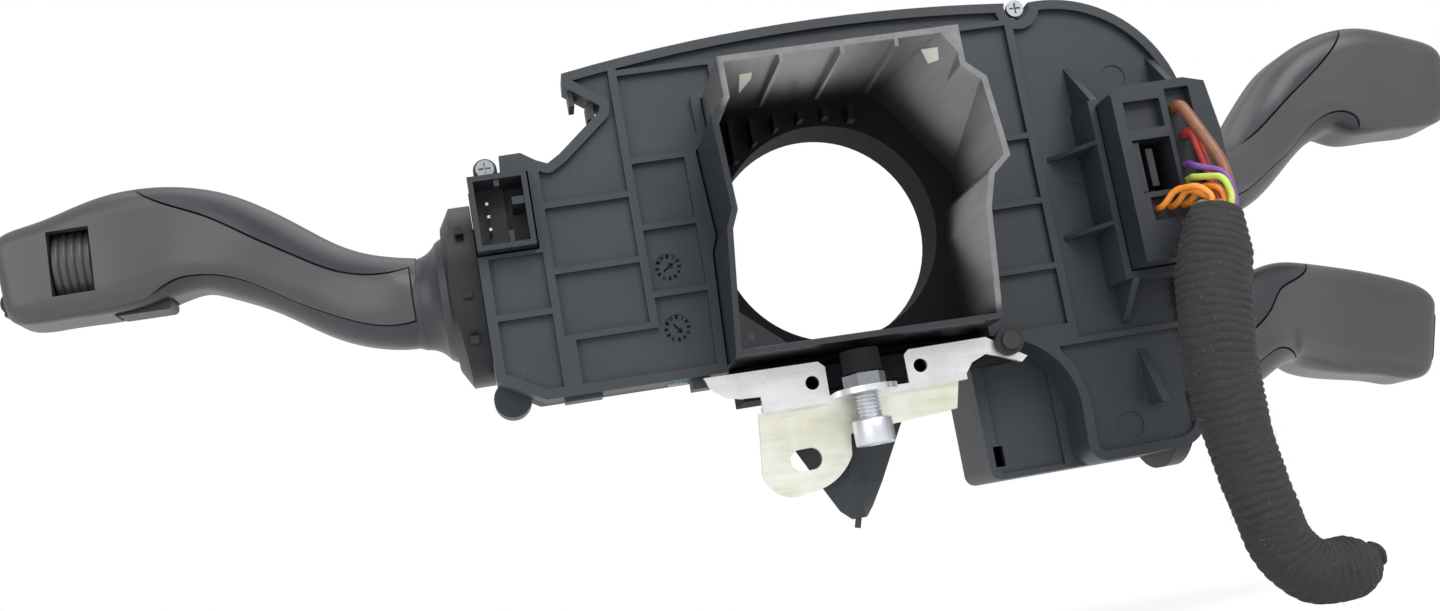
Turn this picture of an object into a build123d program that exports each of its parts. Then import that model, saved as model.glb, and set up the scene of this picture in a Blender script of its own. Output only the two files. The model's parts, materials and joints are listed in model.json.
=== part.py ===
"""Steering column combination switch: wiper, turn and cruise stalks on one column module.

All lengths are millimetres. The outlines are drawn from the moulding datum: X to the right as
seen from the rear (dash) side, Y towards the driver, Z up, with Y = 0 on the rear cover's ribs.
Every piece is moved at the end so that the origin is the centre of the steering column bore.
"""
import math
import os

from build123d import *

# Column bore and the collar that the steering angle ring turns on
BORE_X, BORE_Z = -3.0, 0.3
BORE_R = 30.0
COLLAR_Y0, COLLAR_Y1 = 12.0, 28.0
COLLAR_WALL = 2.4
RING_FIT = 0.06
RING_WALL = 2.2
RING_Y0, RING_Y1 = 16.0, 30.0
CODE_RING_R, CODE_RING_Y = 40.0, 17.0
CAM_RING_R, CAM_RING_Y = 37.6, 22.0
DISC_T = 1.2
FUNNEL_R = 36.5

# Rear cover: a ribbed plate with a skirt, and the board behind it
COVER_Y1 = 9.6
PLATE_T = 3.8
POCKET_DEPTH = 1.8
EDGE_RIB = 2.6
SKIRT_WALL = 2.0
LOBE_BAY_X = 81.0
LOBE_BAY_Z = 27.4
BOARD_Y0, BOARD_T = 6.6, 1.6
BOARD_GAP = 0.4
MARK_R, MARK_DEPTH = 3.6, 0.3

# Column shroud: a tall duct with a slanted rim
SHROUD_WALL = 1.5
SHROUD_GAP = 0.4
SHROUD_TOP = 38.6
RIM_TOP_Y, RIM_MID_Y, RIM_LOW_Y = -34.0, -30.0, -15.0
FIN_T = 1.6

# Front housing: a tray that holds the switches and the collar
TRAY_WALL = 2.2
TRAY_FLOOR = 2.4
SILL_Z = -43.2
LOWER_Z = -37.6
SLIDE_FIT = 0.3

# Stalk joints: one ball joint design shared by the three stalks
PIVOT_Y = 26.0
WIPER_PIVOT = (-98.0, PIVOT_Y, -0.3)
TURN_PIVOT = (80.0, PIVOT_Y, 0.6)
CRUISE_PIVOT = (80.0, PIVOT_Y, -53.0)
BALL_R = 17.2
BALL_WALL = 1.6
BELL_GAP = 0.3
BELL_WALL = 1.6
NECK_R = 5.5
NECK_HOLE_R = 9.2
TRUNNION_R = 2.5
TRUNNION_FIT = 0.05
CROSS = 8.4
TRUNNION_REACH = 12.4
FORK_IN, FORK_OUT, FORK_W = 6.4, 9.0, 8.0
TAIL_END, TAIL_R = 19.0, 4.0
PLUNGER_R, PLUNGER_FIT = 1.9, 0.1
DETENT_R = 22.4
SWITCH_U0, SWITCH_U1 = -27.0, 1.2
SWITCH_W, SWITCH_H = 28.0, 31.0
SWITCH_CAVITY_W, SWITCH_CAVITY_H = 18.6, 26.0
FLANGE_T = 5.0
FLANGE_CROWN = 2.2
FLANGE_DEPTH = 41.0
FLANGE_H = 49.0
FLANGE_CORNER = 19.0
HEAD_SHIFT = 26.0
CRUISE_BOX_X0 = 29.0
INLAY_DEPTH = 3.2
INLAY_GAP = 0.4
TRAY_Y1 = PIVOT_Y + SWITCH_W / 2 + TRAY_FLOOR

# Wiper stalk controls
WHEEL_R, WHEEL_END_R, WHEEL_LEN = 11.5, 9.9, 10.8
WHEEL_WINDOW_H = 18.2
WHEEL_PIN_R = 1.8
CONTROL_GAP = 0.35

# Plug and its socket on the rear cover
SOCKET = (67.2, 96.4, -28.4, 20.4)
SOCKET_Y, SOCKET_WALL = -12.0, 1.8
PLUG_Y0, PLUG_Y1 = -22.0, -1.6
PLUG_GAP = 0.4
LATCH_BAY = (72.4, 82.8, -8.4, 5.6)
WIRE_Y = -19.0

# Clamp hardware under the shroud
SHEET_T = 1.5
SHEET_Y = -4.0
BOLT_X, BOLT_Y, BOLT_R = -6.4, -11.0, 3.0
BOLT_HEAD_R, BOLT_HEAD_H = 5.1, 6.6
SHELF_Z = -45.2
SHELF_X0, SHELF_X1 = -32.0, 22.3
EAR_HOLE_R = 1.8

# Harness
SLEEVE_R = 8.9
SLEEVE_MOUTH_R, SLEEVE_MOUTH_L = 6.8, 11.0


def slab(sketch, y0, y1):
    """Sketch drawn in X and Z, filled from y0 to y1."""
    plane = Plane(origin=(0, y0, 0), x_dir=(1, 0, 0), z_dir=(0, -1, 0))
    return extrude(plane * sketch, amount=y0 - y1)


def block(x0, x1, y0, y1, z0, z1):
    return Pos((x0 + x1) / 2, (y0 + y1) / 2, (z0 + z1) / 2) * Box(x1 - x0, y1 - y0, z1 - z0)


def rod(start, end, radius):
    span = Vector(*end) - Vector(*start)
    return extrude(Plane(origin=start, z_dir=span) * Circle(radius), amount=span.length)


def rect(x0, x1, z0, z1):
    return Pos((x0 + x1) / 2, (z0 + z1) / 2) * Rectangle(x1 - x0, z1 - z0)


def poly(*points):
    return make_face(Polyline(*points, close=True))


def inset(face, distance):
    return offset(face, amount=-distance, kind=Kind.ARC)


def fin(points, plane_x, thickness):
    """Thin web in the Y-Z plane; the points are (y, z)."""
    plane = Plane(origin=(plane_x - thickness / 2, 0, 0), x_dir=(0, 1, 0), z_dir=(1, 0, 0))
    return extrude(plane * poly(*points), amount=thickness)


def web(points, plane_z, thickness):
    """Thin web in the X-Y plane; the points are (x, y)."""
    return extrude(Plane(origin=(0, 0, plane_z - thickness / 2)) * poly(*points), amount=thickness)


# Outlines

def module_outline():
    """Edge of the whole module as seen from the rear, with the column opening filled."""
    left_low = [(-37.7, -34.6), (-85.6, -34.2), (-97.5, -27.6), (-97.5, 5.0), (-97.5, 25.6),
                (-88.6, 25.6), (-88.2, 30.7), (-82.6, 30.8), (-78.9, 28.3), (-76.0, 27.0),
                (-72.5, 29.1), (-60.4, 39.0), (-60.0, 40.6), (-68.9, 47.2), (-68.7, 50.6)]
    edges = [
        Polyline(*left_low),
        ThreePointArc(left_low[-1], (4.3, 56.7), (54.8, 54.2)),
        ThreePointArc((54.8, 54.2), (57.9, 49.0), (61.5, 53.6)),
        ThreePointArc((61.5, 53.6), (85.4, 46.9), (99.3, 26.0)),
        ThreePointArc((99.3, 26.0), (98.3, -4.0), (88.0, -30.0)),
        Line((88.0, -30.0), (86.5, -64.0)),
        ThreePointArc((86.5, -64.0), (83.8, -70.6), (77.0, -73.4)),
        Line((77.0, -73.4), (57.7, -73.6)),
        ThreePointArc((57.7, -73.6), (53.9, -72.2), (52.4, -68.6)),
        Line((52.4, -68.6), (52.8, -58.5)),
        ThreePointArc((52.8, -58.5), (49.4, -46.4), (38.8, -38.2)),
        Polyline((38.8, -38.2), (31.8, -36.0), (-37.7, -34.6)),
    ]
    return make_face(edges)


def shroud_outline():
    return poly((-33.0, SHROUD_TOP), (28.9, SHROUD_TOP + 0.2), (29.2, 29.2), (34.0, 25.0), (36.6, 4.6), (31.8, 0.6),
                (30.4, -7.0), (31.0, -24.0), (31.2, -33.8), (-38.2, -32.8), (-37.8, -22.0),
                (-36.9, -3.0), (-35.2, 1.2), (-36.6, 24.6), (-32.7, 28.8))


def cover_outline():
    """Module outline less the opening that the shroud comes through, which is open below."""
    opening = offset(shroud_outline(), amount=SHROUD_GAP, kind=Kind.INTERSECTION)
    below = poly((-38.2, -23.0), (31.4, -24.0), (31.8, -36.0), (31.8, -45.0), (-38.8, -45.0))
    return module_outline() - opening - below


# Rear cover

POCKETS = [(-95.0, -80.8, -33.0, -12.5), (-95.0, -80.8, -10.9, 3.8),
           (-78.6, -56.5, 16.7, 60.0), (-78.6, -56.5, -0.9, 15.1),
           (-78.6, -56.5, -18.6, -2.5), (-76.0, -40.2, -33.0, -20.2),
           (-54.3, -40.2, -21.0, -12.4), (-54.3, -40.2, -10.8, 5.6),
           (-54.3, -40.2, 7.2, 23.7), (-54.3, -29.7, 25.4, 48.0),
           (-54.3, 53.6, 49.6, 60.0), (35.7, 53.6, 17.2, 48.0),
           (35.7, 53.6, -1.1, 15.6), (35.7, 53.6, -19.2, -2.7),
           (35.7, 53.6, -36.0, -20.8), (55.8, 101.0, -40.2, 60.0),
           (50.0, 101.0, -80.0, -41.8)]
EJECTOR_MARKS = [(81.7, 29.6), (63.6, -1.7), (81.4, -32.7), (65.6, -65.3)]
DIALS = [(-49.2, -4.7), (-49.5, -20.9)]
CONNECTOR = (-97.2, -82.0, 5.4, 25.2)


def rear_cover():
    face = cover_outline()
    cover = slab(face, 0, COVER_Y1)
    cover -= slab(inset(face, SKIRT_WALL), PLATE_T, COVER_Y1 + 1)
    field = inset(face, EDGE_RIB)
    pockets = Sketch() + [field & rect(*p) for p in POCKETS]
    cover -= slab(pockets, -1, POCKET_DEPTH)
    marks = Sketch() + [Pos(*m) * Circle(MARK_R) for m in EJECTOR_MARKS + DIALS]
    cover -= slab(marks, POCKET_DEPTH - 0.1, POCKET_DEPTH + MARK_DEPTH)
    # the skirt stops short where the turn and cruise stalks leave under the plate
    cover -= block(LOBE_BAY_X, 95.0, PLATE_T, 20, -30, LOBE_BAY_Z)
    cover -= block(LOBE_BAY_X, 110, PLATE_T, 20, -80, -24)
    cover -= block(90, 110, 8.0, 20, -30, LOBE_BAY_Z)
    # the wiper connector stands in a corner cut-out
    x0, x1, z0, z1 = CONNECTOR
    cover -= block(x0 - 1, x1 + 0.6, -1, 20, z0 - 0.6, z1 + 0.6)
    cover += socket_block()
    for z in (9.0, -13.0):
        cover += web([(58.0, POCKET_DEPTH), (SOCKET[0], POCKET_DEPTH), (SOCKET[0], SOCKET_Y)], z, 1.2)
    for x in (69.0, 93.0):
        cover += fin([(POCKET_DEPTH, 34.0), (POCKET_DEPTH, SOCKET[3]), (SOCKET_Y, SOCKET[3])], x, 1.8)
    cover += fin([(POCKET_DEPTH, -38.5), (POCKET_DEPTH, SOCKET[2]), (SOCKET_Y, SOCKET[2])], 70.0, 1.8)
    cover += fin([(POCKET_DEPTH, -45.6), (POCKET_DEPTH, -61.0), (-7.0, -61.0)], 73.0, 2.2)
    # hooks in the upper left step, a ledge and a clip under the lower edge
    cover += block(-67.8, -66.4, 2.0, COVER_Y1, 42.0, 46.6)
    cover += block(-63.6, -61.6, 2.0, COVER_Y1, 37.8, 42.2)
    cover += block(-81.0, -71.3, 2.0, 9.0, -35.4, -33.6)
    cover += block(-48.1, -43.2, 2.0, 9.0, -37.4, -33.6)
    # the notches that show the edge of the board
    cover -= block(-54.3, -48.3, BOARD_Y0 - 0.6, COVER_Y1 + 1, -38, -31)
    cover -= block(82.2, 90, PLATE_T - 3, COVER_Y1 + 1, -68, -59)
    return cover


def socket_block():
    x0, x1, z0, z1 = SOCKET
    shell = block(x0, x1, SOCKET_Y, POCKET_DEPTH, z0, z1)
    room = block(x0 + SOCKET_WALL, x1 - SOCKET_WALL, SOCKET_Y - 1, 0, z0 + SOCKET_WALL, z1 - SOCKET_WALL)
    return shell - room


def main_board():
    face = inset(cover_outline(), SKIRT_WALL + BOARD_GAP)
    face -= rect(LOBE_BAY_X - 1.4, 120, -90, LOBE_BAY_Z + 1.4)
    x0, x1, z0, z1 = CONNECTOR
    face -= rect(x0 - 5, x1 + 1, z0 - 1, 40)
    face += rect(-53.9, -48.7, -34.9, -30)
    return slab(face, BOARD_Y0, BOARD_Y0 + BOARD_T)


# Column shroud

SHROUD_PANEL = Plane(origin=(26.7, -32.0, 33.0), x_dir=(5.3, 0, -7.5), z_dir=(315, 52, 222))


def column_shroud():
    outer = shroud_outline()
    inner = inset(outer, SHROUD_WALL)
    duct = slab(outer - inner, RIM_TOP_Y, COLLAR_Y0)
    # slanted panel across the upper right corner, deeper towards the front
    duct += extrude(SHROUD_PANEL * Rectangle(90, 110), amount=40) & slab(inner, RIM_TOP_Y, COLLAR_Y0)
    for x in (-17.0, -1.5, 12.5):
        duct += block(x - 0.5, x + 0.5, RIM_TOP_Y, 4, 35.4, 37.4)
    rim_cut = [(-60, 60), (RIM_TOP_Y, 60), (RIM_TOP_Y, 39.0), (RIM_MID_Y, 1.0), (RIM_LOW_Y, -34.0),
               (RIM_LOW_Y, -60), (-60, -60)]
    plane = Plane(origin=(-60, 0, 0), x_dir=(0, 1, 0), z_dir=(1, 0, 0))
    duct -= extrude(plane * poly(*rim_cut), amount=120)
    duct -= shroud_pad_left(0.0)
    duct -= shroud_pad_right(0.0)
    # corner web at the lower left, cut by the bore
    web_face = poly((-36.0, -14.0), (-36.0, -32.0), (-16.0, -32.0)) & inner
    web_face -= Pos(BORE_X, BORE_Z) * Circle(BORE_R + 2.2)
    duct += slab(web_face, COLLAR_Y0 - 2.4, COLLAR_Y0)
    return duct


def shroud_pad_left(gap):
    """Pale felt wedge let into the top wall near its left end."""
    face = inset(poly((-25.9, -21.7), (-22.6, -22.0), (-22.2, -17.5), (-23.9, -6.3)), gap)
    return extrude(Plane(origin=(0, 0, SHROUD_TOP - SHROUD_WALL - 0.2)) * face, amount=1.2)


def shroud_pad_right(gap):
    """Pale felt wedge let into the corner panel near the top wall."""
    corners = [(21.9, -22.4, 37.3), (24.3, -28.6, 35.4), (25.3, -24.7, 33.2), (23.9, -20.0, 34.0)]
    local = [SHROUD_PANEL.to_local_coords(Vector(*c)) for c in corners]
    face = inset(poly(*[(v.X, v.Y) for v in local]), gap)
    return extrude(SHROUD_PANEL.offset(-0.3) * face, amount=1.4)


# Front housing

def housing_outline():
    """The tray follows the module but stops short of the step and of the lower left edge."""
    face = module_outline() - rect(-75.0, -56.0, 38.0, 60.0)
    face += Pos(BORE_X, BORE_Z) * Circle(CODE_RING_R + 0.5 + TRAY_WALL)
    face -= poly((-37.0, -31.4), (-86.5, -31.0), (-98.5, -24.0), (-110, -24), (-110, -60), (-37.0, -60))
    face -= rect(LOBE_BAY_X, 130, -90, LOBE_BAY_Z)
    face -= rect(SILL_X1, 130, -90, LOWER_Z)
    return face


def front_housing():
    face = housing_outline()
    floor_y = TRAY_Y1 - TRAY_FLOOR
    inside = inset(face, TRAY_WALL)
    tray = slab(face, COVER_Y1, TRAY_Y1) - slab(inside, COVER_Y1 - 1, floor_y)
    bore = Pos(BORE_X, BORE_Z) * Circle(BORE_R)
    collar_r = BORE_R + COLLAR_WALL
    # funnel that closes the tray round the opening and keeps the angle ring on its collar
    tray += slab(Pos(BORE_X, BORE_Z) * Circle(FUNNEL_R + 2), RING_Y1 + 0.3, floor_y + 1)
    tray -= slab(Pos(BORE_X, BORE_Z) * Circle(FUNNEL_R), RING_Y1, TRAY_Y1 + 1)
    tray -= slab(offset(shroud_outline(), amount=SHROUD_GAP, kind=Kind.INTERSECTION), COVER_Y1 - 1, COLLAR_Y0)
    # bulkhead at the end of the duct, carrying the collar, on four posts
    bulkhead = rect(-40.5, 40.5, -38.5, 42.5) & (face + rect(SILL_X0, SILL_X1, -38.5, -30.0))
    tray += slab(bulkhead - bore, COLLAR_Y0, COLLAR_Y0 + 2)
    tray += slab(Pos(BORE_X, BORE_Z) * Circle(collar_r) - bore, COLLAR_Y0, COLLAR_Y1)
    for x, z in ((-37.5, 35.5), (33.5, 35.5), (-37.5, -33.5), (33.5, -33.5)):
        tray += slab(rect(x - 3, x + 3, z - 3, z + 3) & face, COLLAR_Y0 + 1, floor_y + 1)
    for x in (-25.5, -19.5, -13.0, -6.0, 1.0, 8.0):
        fin_face = rect(x - FIN_T / 2, x + FIN_T / 2, 22.0, 33.6) - Pos(BORE_X, BORE_Z) * Circle(BORE_R + 0.9)
        tray += slab(fin_face, COLLAR_Y0 - 6, COLLAR_Y0 + 1)
    tray -= slab(bore, COLLAR_Y0 - 8, COLLAR_Y1 + 1)
    # sill that carries the clamp bracket, with the bolt boss
    sill_top = LOWER_Z + 0.4
    tray += block(SILL_X0, SILL_X1, SHEET_Y + SHEET_T, COLLAR_Y0 + 2, SILL_Z, sill_top)
    tray += block(SILL_X1, 38, SHEET_Y + SHEET_T, COVER_Y1 - 0.4, SILL_Z, LOWER_Z - 0.8)
    tray += slab(Pos(*GROMMET) * Circle(3.2), SHEET_Y + SHEET_T, -0.4)
    tray += rod((BOLT_X, BOLT_Y, sill_top + 1.6), (BOLT_X, BOLT_Y, sill_top - 4.2), 5.0)
    tray += block(BOLT_X - 3, BOLT_X + 3, BOLT_Y, SHEET_Y + 2, sill_top - 4.2, sill_top)
    tray -= rod((BOLT_X, BOLT_Y, sill_top - 0.8), (BOLT_X, BOLT_Y, sill_top - 12.8), BOLT_R + 0.2)
    for x, z in EAR_HOLES:
        tray -= rod((x, -20, z), (x, 4, z), EAR_HOLE_R)
    # side windows that the switch housings slide through
    for pivot, side, height in ((WIPER_PIVOT, -1, SWITCH_H), (TURN_PIVOT, 1, SWITCH_H)):
        x, y, z = pivot
        inner_x = x + side * (SWITCH_U0 - SLIDE_FIT)
        outer_x = x + side * 10
        low, high = min(inner_x, outer_x), max(inner_x, outer_x)
        half_y = SWITCH_W / 2 + SLIDE_FIT
        half_z = height / 2 + SLIDE_FIT
        tray -= block(low, high, y - half_y, y + half_y, z - half_z, z + half_z)
    x0, x1, z0, z1 = CONNECTOR
    tray -= block(x0 - 2, x1 + 0.6, 0, 14.3, z0 - 0.6, z1 + 0.6)
    return tray


EAR_HOLES = [(-18.3, -41.2), (10.6, -41.2)]
SILL_X0, SILL_X1 = -36.3, 22.4


# Steering angle ring

def angle_ring():
    inner = BORE_R + COLLAR_WALL + RING_FIT
    centre = Pos(BORE_X, BORE_Z)
    ring = slab(centre * Circle(inner + RING_WALL) - centre * Circle(inner), RING_Y0, RING_Y1)
    lip = slab(centre * (Circle(FUNNEL_R + 1.8) - Circle(BORE_R + 0.8)), COLLAR_Y1 + 0.3, RING_Y1)
    return ring + lip


def code_ring():
    inner = BORE_R + COLLAR_WALL + RING_FIT + RING_WALL + 0.03
    centre = Pos(BORE_X, BORE_Z)
    slots = Sketch() + PolarLocations(CODE_RING_R - 2.4, 24) * Rectangle(2.2, 1.6)
    face = centre * (Circle(CODE_RING_R) - Circle(inner) - slots)
    return slab(face, CODE_RING_Y, CODE_RING_Y + DISC_T)


def cancel_cam():
    inner = BORE_R + COLLAR_WALL + RING_FIT + RING_WALL
    centre = Pos(BORE_X, BORE_Z)
    lobes = Sketch() + PolarLocations(CAM_RING_R - 0.6, 2) * Circle(2.4)
    return slab(centre * (Circle(CAM_RING_R - 1.2) + lobes - Circle(inner)), CAM_RING_Y, CAM_RING_Y + 3)


# Stalk joint, drawn with the pivot at the origin and the stalk along +X

def ball(radius):
    return Sphere(radius)


def switch_housing(length=-SWITCH_U0):
    body = block(-length, SWITCH_U1, -SWITCH_W / 2, SWITCH_W / 2, -SWITCH_H / 2, SWITCH_H / 2)
    half_w, half_h = SWITCH_CAVITY_W / 2, SWITCH_CAVITY_H / 2
    body -= block(-TAIL_END, SWITCH_U1 + 1, -half_w, half_w, -half_h, half_h)
    body -= ball(DETENT_R) & block(-DETENT_R - 1, -TAIL_END + 0.1, -8, 8, -11, 11)
    body -= rod((0, -SWITCH_W, 0), (0, SWITCH_W, 0), TRUNNION_R + TRUNNION_FIT)
    return body


def stalk_flange(root):
    """Flange with rounded ends, crowned towards the bell that turns in its recess."""
    u0, u1 = SWITCH_U1, SWITCH_U1 + FLANGE_T
    seat_r = BALL_R + BELL_GAP + BELL_WALL + 0.4
    crown_u = u1 + FLANGE_CROWN
    face = Plane(origin=(u0, 0, 0), x_dir=(0, 1, 0), z_dir=(1, 0, 0))
    outline = RectangleRounded(FLANGE_DEPTH, FLANGE_H, FLANGE_CORNER)
    reach = FLANGE_H / 2 + 1.0
    crown = poly((u0 - 1, 0), (crown_u, 0), (crown_u, seat_r), (u1 - 1.2, reach), (u0 - 1, reach))
    plate = extrude(face * outline, amount=FLANGE_T + FLANGE_CROWN) & revolve(crown, Axis.X)
    rear = -FLANGE_DEPTH / 2
    for z in (14.0, -3.0, -15.0):
        plate += block(u0 + 1.0, u0 + 3.2, rear - 1.0, rear + 4.0, z - 1.0, z + 1.0)
    if root > 0:
        skirt = outline - Rectangle(SWITCH_W + 2 * SLIDE_FIT, SWITCH_H + 2 * SLIDE_FIT)
        plate += extrude(face * skirt, amount=-root)
    plate -= rod((u0 - 1, 0, 0), (u1 + 4, 0, 0), BALL_R - BALL_WALL)
    plate -= rod((u0 + 1.2, 0, 0), (u1 + 4, 0, 0), seat_r)
    return plate + dome(u0)


def dome(u0):
    """Fixed ball that the bell runs on, open in front for the neck."""
    outer, inner = BALL_R, BALL_R - BALL_WALL

    def on(radius, u):
        return (u, math.sqrt(radius ** 2 - u ** 2))

    def at_neck(radius):
        return (math.sqrt(radius ** 2 - NECK_HOLE_R ** 2), NECK_HOLE_R)
    edges = [
        ThreePointArc(on(outer, u0), on(outer, 10), at_neck(outer)),
        Line(at_neck(outer), at_neck(inner)),
        ThreePointArc(at_neck(inner), on(inner, 8), on(inner, u0)),
        Line(on(inner, u0), on(outer, u0)),
    ]
    return revolve(make_face(edges), Axis.X)


def gimbal():
    cross = Box(CROSS, CROSS, CROSS)
    cross += rod((0, -TRUNNION_REACH, 0), (0, TRUNNION_REACH, 0), TRUNNION_R)
    cross += rod((0, 0, -FORK_OUT), (0, 0, FORK_OUT), TRUNNION_R)
    return cross


def lever_root():
    """Fork and tail: what joins the stalk to the cross and holds the detent plunger."""
    half = FORK_W / 2
    root = block(5.6, FORK_OUT, -half, half, -FORK_OUT, FORK_OUT)
    for side in (-1, 1):
        low, high = sorted((side * FORK_IN, side * FORK_OUT))
        root += block(-FORK_OUT, FORK_OUT, -half, half, low, high)
    root += block(-FORK_OUT - 0.6, -7.0, -half, half, -FORK_OUT, FORK_OUT)
    root += rod((-FORK_OUT, 0, 0), (-TAIL_END + 0.6, 0, 0), TAIL_R)
    root -= rod((0, 0, -20), (0, 0, 20), TRUNNION_R + TRUNNION_FIT)
    root -= rod((-TAIL_END - 1, 0, 0), (-10.6, 0, 0), PLUNGER_R + PLUNGER_FIT)
    return root


def detent_plunger():
    tip_u = -DETENT_R + 0.4 + PLUNGER_R
    return rod((tip_u, 0, 0), (-15.0, 0, 0), PLUNGER_R) + Pos(tip_u, 0, 0) * Sphere(PLUNGER_R)


def detent_spring():
    return rod((-15.0, 0, 0), (-10.6, 0, 0), PLUNGER_R - 0.1) - rod((-16, 0, 0), (-10, 0, 0), PLUNGER_R - 0.8)


def head_shift(u):
    """How far the stalk has swept towards the driver at distance u from its pivot."""
    t = min(1.0, max(0.0, (u - 22.0) / 58.0))
    return HEAD_SHIFT * t * t * (3 - 2 * t)


def stalk_loft(stations, shrink=0.0):
    """Loft through rounded sections: (u, w, tilt, half height, half thickness, corner)."""
    faces = []
    for u, w, tilt, half_h, half_v, corner in stations:
        a = math.radians(tilt)
        plane = Plane(origin=(u, head_shift(u), w), x_dir=(0, 1, 0), z_dir=(math.cos(a), 0, math.sin(a)))
        radius = max(1.0, corner - shrink)
        faces.append(plane * RectangleRounded(2 * (half_v - shrink), 2 * (half_h - shrink), radius))
    return loft(faces)


def stalk_base():
    """Turned root of the stalk: the bell that runs over the fixed ball, and the neck inside it."""
    inner = BALL_R + BELL_GAP
    outer = inner + BELL_WALL
    rim = SWITCH_U1 + FLANGE_T + 0.2

    def on(radius, u):
        return (u, math.sqrt(radius ** 2 - u ** 2))
    neck = (math.sqrt(inner ** 2 - NECK_R ** 2), NECK_R)
    edges = [
        Polyline((20.5, 0), (7.5, 0), (7.5, NECK_R), neck),
        ThreePointArc(neck, on(inner, 12.0), on(inner, rim)),
        Line(on(inner, rim), on(outer, rim)),
        ThreePointArc(on(outer, rim), on(outer, 8.4), on(outer, 10.4)),
        ThreePointArc(on(outer, 10.4), (12.9, 13.5), (16.4, 12.4)),
        Polyline((16.4, 12.4), (18.4, 11.6), (20.5, 10.0), (20.5, 0)),
    ]
    return revolve(make_face(edges), Axis.X)


def seam_prism(upper, lower, gap=0.0):
    """Prism over the inlay's outline: smooth seams, then straight beyond the head."""
    top = [(u + gap, w - 1.2 * gap) for u, w in upper]
    bottom = [(u + gap, w + 1.2 * gap) for u, w in reversed(lower)]
    face = make_face([Spline(*top[:-1]), Polyline(top[-2], top[-1], bottom[0], bottom[1]),
                      Spline(*bottom[1:]), Line(bottom[-1], top[0])])
    return extrude(Plane(origin=(0, -30, 0), x_dir=(1, 0, 0), z_dir=(0, -1, 0)) * face, amount=-100)


def lid_zone(stations):
    """Everything behind the surface that the inlay sits on, which follows the stalk's sweep."""
    path = [(u, head_shift(u) - half_v + INLAY_DEPTH) for u, _, _, _, half_v, _ in stations]
    path = [(path[0][0] - 10, path[0][1])] + path + [(path[-1][0] + 10, path[-1][1])]
    edges = [Spline(*path), Polyline(path[-1], (path[-1][0], -60), (path[0][0], -60), path[0])]
    return extrude(Plane(origin=(0, 0, -60)) * make_face(edges), amount=160)


def stalk_shells(stations, upper, lower):
    """The lever with the seat cut into its rear face, and the inlay cover that fills the seat."""
    outer = stalk_loft(stations)
    zone = lid_zone(stations)
    whole = outer + (stalk_base() + lever_root())
    inlay = outer & zone & seam_prism(upper, lower, INLAY_GAP)
    return whole - (zone & seam_prism(upper, lower)), inlay


WIPER_STALK = [(16.6, 0.6, 3, 12.1, 11.8, 11.2), (23, 1.4, 8, 12.4, 11.6, 10.8),
               (30.5, 3.8, 20, 12.2, 11.4, 10.2), (40, 9.3, 31, 11.7, 11.2, 9.8),
               (50, 16.9, 36, 11.9, 11.2, 9.4), (60, 24.1, 33, 13, 11.4, 9.2), (70, 30, 24, 14, 12, 9),
               (80, 32.2, 10, 15.5, 12.6, 8.4), (92, 31.8, -3, 16.7, 13, 7.6),
               (108, 29.5, -8, 15.4, 12.8, 6.6), (121, 27.9, -8, 13.8, 12.2, 5.8),
               (126.6, 27.4, -6, 12.5, 11.2, 5.2), (128.4, 27.3, -5, 10.9, 9.4, 4.4)]
TURN_STALK = [(16.6, 0.2, 2, 12.1, 11.8, 11.2), (24, 0.4, 4, 12, 11.6, 10.8), (32, 0.6, 8, 11.4, 11.4, 10.2),
              (41, 1.6, 20, 10.6, 11.2, 9.6), (50, 5.4, 33, 10.2, 11.2, 9.2), (60, 12.6, 38, 10.8, 11.4, 9),
              (68, 18.8, 38, 11.5, 11.8, 9), (76, 24.4, 31, 12.8, 12.4, 8.6), (85, 28.7, 15, 14.6, 12.8, 8),
              (93.5, 29.4, 0, 16.8, 13, 7.6), (101, 28.9, -7, 17.2, 13, 7),
              (112.5, 26.9, -10, 15.3, 12.7, 6.4), (122.5, 24.9, -9, 13.2, 12, 5.6),
              (125.8, 24.4, -8, 11.6, 10.6, 5), (127.2, 24.2, -7, 10, 8.8, 4.2)]
CRUISE_STALK = [(16.6, 0.6, 6, 12.0, 11.7, 11.0), (22, 1.6, 14, 11.8, 11.4, 10.6), (29, 4.4, 26, 12.0, 11.2, 10.0),
                (37, 9.0, 30, 13.0, 11.2, 9.4), (45, 12.4, 20, 14.2, 11.6, 9.0), (53, 13.7, 0, 15.2, 12.0, 8.4),
                (61, 12.5, -10, 16.0, 12.4, 7.8), (72, 10.3, -12, 16.3, 12.6, 7.0), (82, 7.9, -15, 15.9, 12.4, 6.4),
                (92, 4.8, -17, 15.2, 12.0, 5.8), (99.8, 1.6, -18, 13.8, 11.4, 5.0),
                (102.0, 0.8, -18, 12.2, 10.2, 4.2)]
WHEEL_U = WIPER_STALK[9][0] + 0.7
WHEEL_W = WIPER_STALK[9][1] - 0.4
WIPER_SEAM_UP = [(17.6, 9.1), (25.3, 8.3), (35.8, 11.2), (46.3, 18), (59.8, 28), (73.4, 37.5), (85.1, 43.4),
                 (88.3, 45.7), (91.6, 50), (134, 56)]
WIPER_SEAM_LOW = [(17.6, -6.2), (27, -5.8), (37.2, -1.5), (50.4, 6.8), (64, 16.1), (75.1, 20.1), (81.9, 20),
                  (87.6, 17.5), (91.9, 15.1), (97.9, 13.2), (134, 9)]
TURN_SEAM_UP = [(17.6, 9.2), (28, 8.8), (37.6, 9.3), (47.1, 11.1), (58.7, 16.7), (72.7, 26.1), (87, 36.3),
                (94, 43.1), (97.4, 48.5), (134, 56)]
TURN_SEAM_LOW = [(17.6, -6.4), (28, -6.8), (41.4, -5.1), (56.1, 2.1), (68.3, 8.7), (79.3, 16.5), (85.6, 18.9),
                 (90.5, 18.3), (93.3, 16.2), (94.9, 12.4), (96, 9.4), (134, 7)]
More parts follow.
